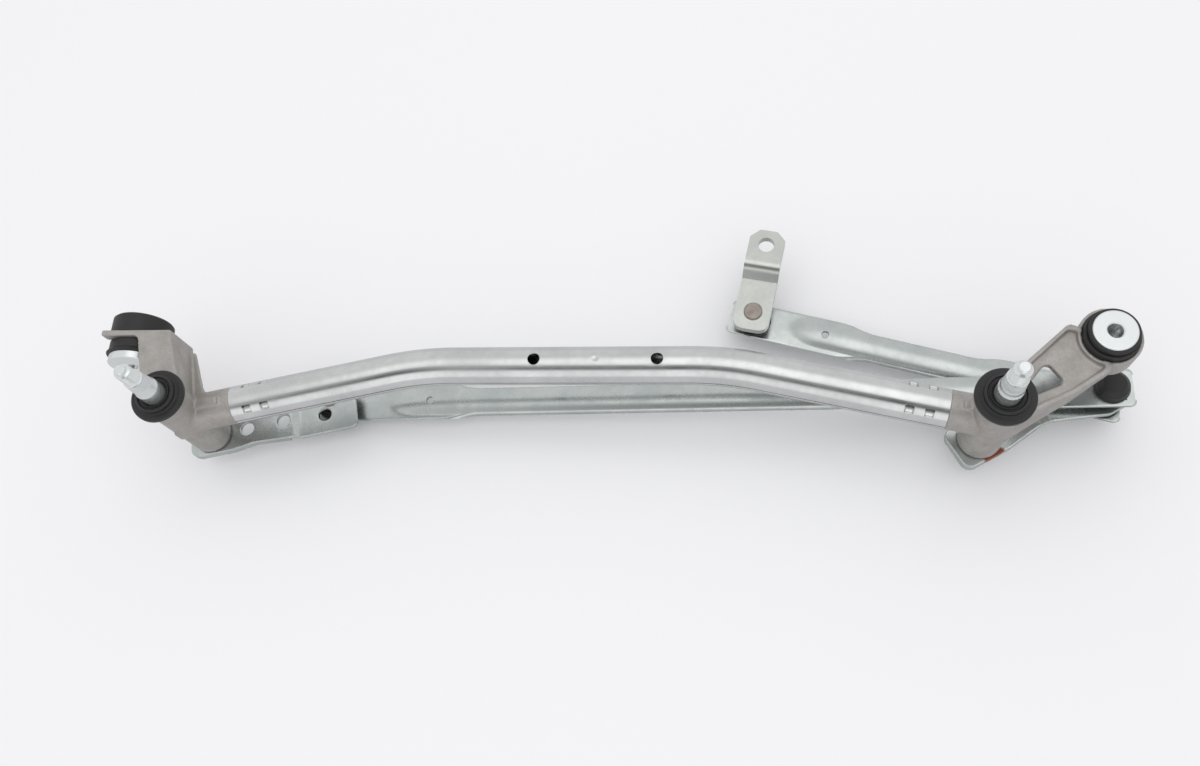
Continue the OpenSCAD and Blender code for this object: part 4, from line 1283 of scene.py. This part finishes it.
@dataclass(frozen=True)
class Linkage:
    """Places of the joints and mounts, in millimetres, and the pieces that lie between them.

    The long rod runs from left_z to right_z, the drive rod lies level at low_z, and the crank's
    underside is crank_seat above its ball. Angles are in plan.
    """

    gap: float = 500.0
    lever: float = 81.6
    lever_angle: float = math.radians(20.0)
    drive: float = 221.0
    drive_angle: float = math.radians(165.0)
    left_z: float = -92.0
    right_z: float = -61.6
    low_z: float = -84.0
    crank_seat: float = 9.7
    crank_angle: float = math.radians(78.8)
    left_bush: Point = (-36.0, 35.0, -27.0)
    right_bush: Point = (561.7, 38.8, 0.0)

    def left_ball(self) -> Point:
        """Gives the centre of the ball at the left lever."""
        c, s = math.cos(self.lever_angle), math.sin(self.lever_angle)
        return (self.lever * c, self.lever * s, self.left_z)

    def crank_ball(self) -> Point:
        """Finds the ball at the crank, a drive rod's length from the lower right ball.

        Returns:
            The centre of the ball.
        """
        x, y, _ = self.left_ball()
        c, s = math.cos(self.drive_angle), math.sin(self.drive_angle)
        return (self.gap + x + self.drive * c, y + self.drive * s, self.low_z)

    def long_rod(self) -> Rod:
        """Makes the rod between the levers, tilted by the height between its balls.

        Returns:
            The rod.
        """
        rise = self.right_z - self.left_z
        length = math.hypot(self.gap, rise)
        c, s = self.gap / length, rise / length
        axes = ((c, 0.0, s), (0.0, 1.0, 0.0), (-s, 0.0, c))
        return Rod(
            node="long_rod", body="long_rod", origin=self.left_ball(), axes=axes,
            length=length, plates=(80.0, 40.0), bead_at=40.0, hole_at=70.0,
        )

    def drive_rod(self) -> Rod:
        """Makes the rod from the motor crank to the right lever.

        Returns:
            The rod.
        """
        axes = plan_axes(self.drive_angle - math.pi)
        return Rod(
            node="drive_rod", body="drive_rod", origin=self.crank_ball(), axes=axes,
            length=self.drive, plates=(56.0, 56.0), bead_at=26.0, hole_at=48.5,
        )

    def crank(self) -> Crank:
        """Makes the motor crank, which lies above its ball."""
        x, y, z = self.crank_ball()
        return Crank(origin=(x, y, z + self.crank_seat), axes=plan_axes(self.crank_angle))

    def shapes(self) -> list[Shape]:
        """Lists the shaped pieces in the order in which they are built.

        Returns:
            The tube, the rods, the crank and the round pieces.
        """
        shapes: list[Shape] = [Tube(gap=self.gap), self.long_rod(), self.drive_rod(), self.crank()]
        for side, x in (("left", 0.0), ("right", self.gap)):
            place = (x, 0.0, 0.0)
            shapes.append(Spindle(node=f"{side}_spindle", body=f"{side}_drive", place=place))
            shapes.append(Cap(node=f"{side}_cap", place=place))
        shapes.append(LeftRubber(node="left_bush_rubber", place=self.left_bush))
        shapes.append(LeftSleeve(node="left_bush_sleeve", place=self.left_bush))
        shapes.append(RightRubber(node="right_bush_rubber", place=self.right_bush))
        shapes.append(RightSleeve(node="right_bush_sleeve", place=self.right_bush))
        return shapes


SOFTENED: dict[str, tuple[float, int]] = {"_housing": (0.7, 3), "_lever": (0.4, 7)}
BEVELLED: tuple[str, ...] = ("_ball_stud", "_socket")
NODE_ROUNDING = 0.25


@dataclass(frozen=True)
class Glow:
    """A round part of the surroundings as shiny surfaces mirror it.

    Attributes:
        direction: Where its middle lies.
        edge: Cosine of the angle from its middle at the outer and the inner end of its edge.
        colour: Its brightness in red, green and blue.
    """

    direction: Point
    edge: tuple[float, float]
    colour: Colour


@dataclass
class Studio:
    """Pale floor, soft light, surroundings and the camera of the photograph."""

    floor_z: float
    floor_half: float = 6.0
    floor_colour: Colour = (0.895, 0.895, 0.91)
    mirrored_floor: Colour = (0.62, 0.62, 0.63)
    room_low: Colour = (0.55, 0.55, 0.555)
    room_high: Colour = (1.10, 1.10, 1.105)
    mirrored_room: Colour = (0.70, 0.705, 0.71)
    dark_strip: Glow = Glow((0.0, -0.60, 0.80), (0.915, 0.985), (0.10, 0.10, 0.105))
    softbox: Glow = Glow((0.10, 0.07, 0.9925), (0.86, 0.98), (1.20, 1.20, 1.20))
    window: Glow = Glow((0.0, -0.96, 0.28), (0.84, 0.95), (0.95, 0.95, 0.955))
    key_place: Point = (0.26, 0.05, 1.25)
    key_target: Point = (0.26, 0.0, -0.04)
    key_size: float = 1.3
    key_power: float = 2.6
    camera_place: Point = (0.3574, -0.2126, 0.5623)
    camera_axes: Axes = (
        (0.9907, 0.0485, -0.1271),
        (0.0012, 0.9312, 0.3645),
        (0.1361, -0.3613, 0.9225),
    )
    lens_mm: float = 31.5
    sensor_mm: float = 36.0
    nearest: float = 0.01

    def build(self) -> None:
        """Makes the floor, the surroundings, the light and the camera."""
        self._floor()
        self._world()
        self._key()
        self._camera()

    def _floor(self) -> None:
        """Makes a matt floor that looks darker in mirroring metal."""
        half, z = self.floor_half, self.floor_z
        mesh = bpy.data.meshes.new("floor")
        corners = [(-half, -half, z), (half, -half, z), (half, half, z), (-half, half, z)]
        mesh.from_pydata(corners, [], [(0, 1, 2, 3)])
        floor = bpy.data.objects.new("floor", mesh)
        bpy.context.scene.collection.objects.link(floor)
        material = bpy.data.materials.new("floor")
        material.use_nodes = True
        shader = material.node_tree.nodes["Principled BSDF"]
        tree = Tree(material.node_tree)
        glossy = tree.add("ShaderNodeLightPath").outputs["Is Glossy Ray"]
        colour = tree.mix(glossy, rgba(self.floor_colour), rgba(self.mirrored_floor))
        tree.put(colour, shader.inputs["Base Color"])
        shader.inputs["Roughness"].default_value = 0.9
        shader.inputs["Specular IOR Level"].default_value = 0.0
        mesh.materials.append(material)

    def _world(self) -> None:
        """Makes surroundings that brighten upwards and mirror as a softbox in a darker room."""
        world = bpy.data.worlds.new("studio")
        bpy.context.scene.world = world
        world.use_nodes = True
        tree = Tree(world.node_tree)
        ray = tree.add("ShaderNodeTexCoord").outputs["Generated"]
        mirrored: object = rgba(self.mirrored_room)
        for glow in (self.dark_strip, self.softbox, self.window):
            share = tree.remap(tree.vector("DOT_PRODUCT", ray, glow.direction), *glow.edge)
            mirrored = tree.mix(share, mirrored, rgba(glow.colour))
        split = tree.add("ShaderNodeSeparateXYZ")
        tree.put(ray, split.inputs["Vector"])
        up = tree.remap(split.outputs["Z"], 0.0, 1.0)
        plain = tree.mix(up, rgba(self.room_low), rgba(self.room_high))
        glossy = tree.add("ShaderNodeLightPath").outputs["Is Glossy Ray"]
        back = world.node_tree.nodes["Background"]
        tree.put(tree.mix(glossy, plain, mirrored), back.inputs["Color"])
        back.inputs["Strength"].default_value = 1.0

    def _key(self) -> None:
        """Makes the square soft light above the linkage."""
        data = bpy.data.lights.new("key", "AREA")
        data.size = self.key_size
        data.energy = self.key_power
        light = bpy.data.objects.new("key", data)
        light.location = self.key_place
        aim = Vector(self.key_target) - Vector(self.key_place)
        light.rotation_mode = "QUATERNION"
        light.rotation_quaternion = aim.to_track_quat("-Z", "Y")
        light.visible_glossy = False
        bpy.context.scene.collection.objects.link(light)

    def _camera(self) -> None:
        """Makes the camera that the photograph was fitted with."""
        data = bpy.data.cameras.new("photo")
        data.lens = self.lens_mm
        data.sensor_width = self.sensor_mm
        data.clip_start = self.nearest
        camera = bpy.data.objects.new("photo", data)
        camera.rotation_mode = "QUATERNION"
        camera.rotation_quaternion = Matrix(self.camera_axes).transposed().to_quaternion()
        camera.location = self.camera_place
        bpy.context.scene.collection.objects.link(camera)
        bpy.context.scene.camera = camera


def dress_nodes() -> dict[str, bpy.types.Material]:
    """Makes the finishes and gives each CAD node its own.

    Returns:
        The material of each node.
    """
    groups = {"cloud": make_cloud_group(), "grain": make_grain_group(), "patch": make_patch_group()}
    finishes = {finish.slot: finish for finish in FINISHES}
    plain = {slot: finish.build(groups) for slot, finish in finishes.items()}
    materials: dict[str, bpy.types.Material] = {}
    for part in frame["record"]["subparts"]:
        name, slot = part["node"], Slot(part["material_slot"])
        materials[name] = plain[slot]
        if name in OWN_LOOKS:
            own = replace(finishes[slot], **OWN_LOOKS[name])
            materials[name] = own.build(groups, f"{slot.value}_{name}")
        node = frame["nodes"][name]
        node.data.materials.clear()
        node.data.materials.append(materials[name])
        LOG.info("%s has the finish %s", name, materials[name].name)
    return materials


def soften_nodes() -> None:
    """Rounds the castings and levers, and the edges of the ball studs and sockets."""
    for name, node in frame["nodes"].items():
        for ending, (voxel, passes) in SOFTENED.items():
            if name.endswith(ending):
                round_casting(node, voxel, passes)
                LOG.info("%s has soft corners", name)
        if name.endswith(BEVELLED):
            merge_doubles(node)
            soften_edges(node, NODE_ROUNDING)
            LOG.info("%s has rounded edges", name)


def main() -> None:
    """Builds the looks."""
    logging.basicConfig(level=logging.INFO, format="%(name)s: %(message)s")
    bpy.context.scene.view_settings.view_transform = "Standard"
    materials = dress_nodes()
    soften_nodes()
    for shape in Linkage().shapes():
        piece = shape.build(materials[shape.node])
        LOG.info("%s stands for %s", piece.name, shape.node)
    Studio(floor_z=CAD_BOUNDS[0].z).build()


if __name__ == "__main__":
    main()
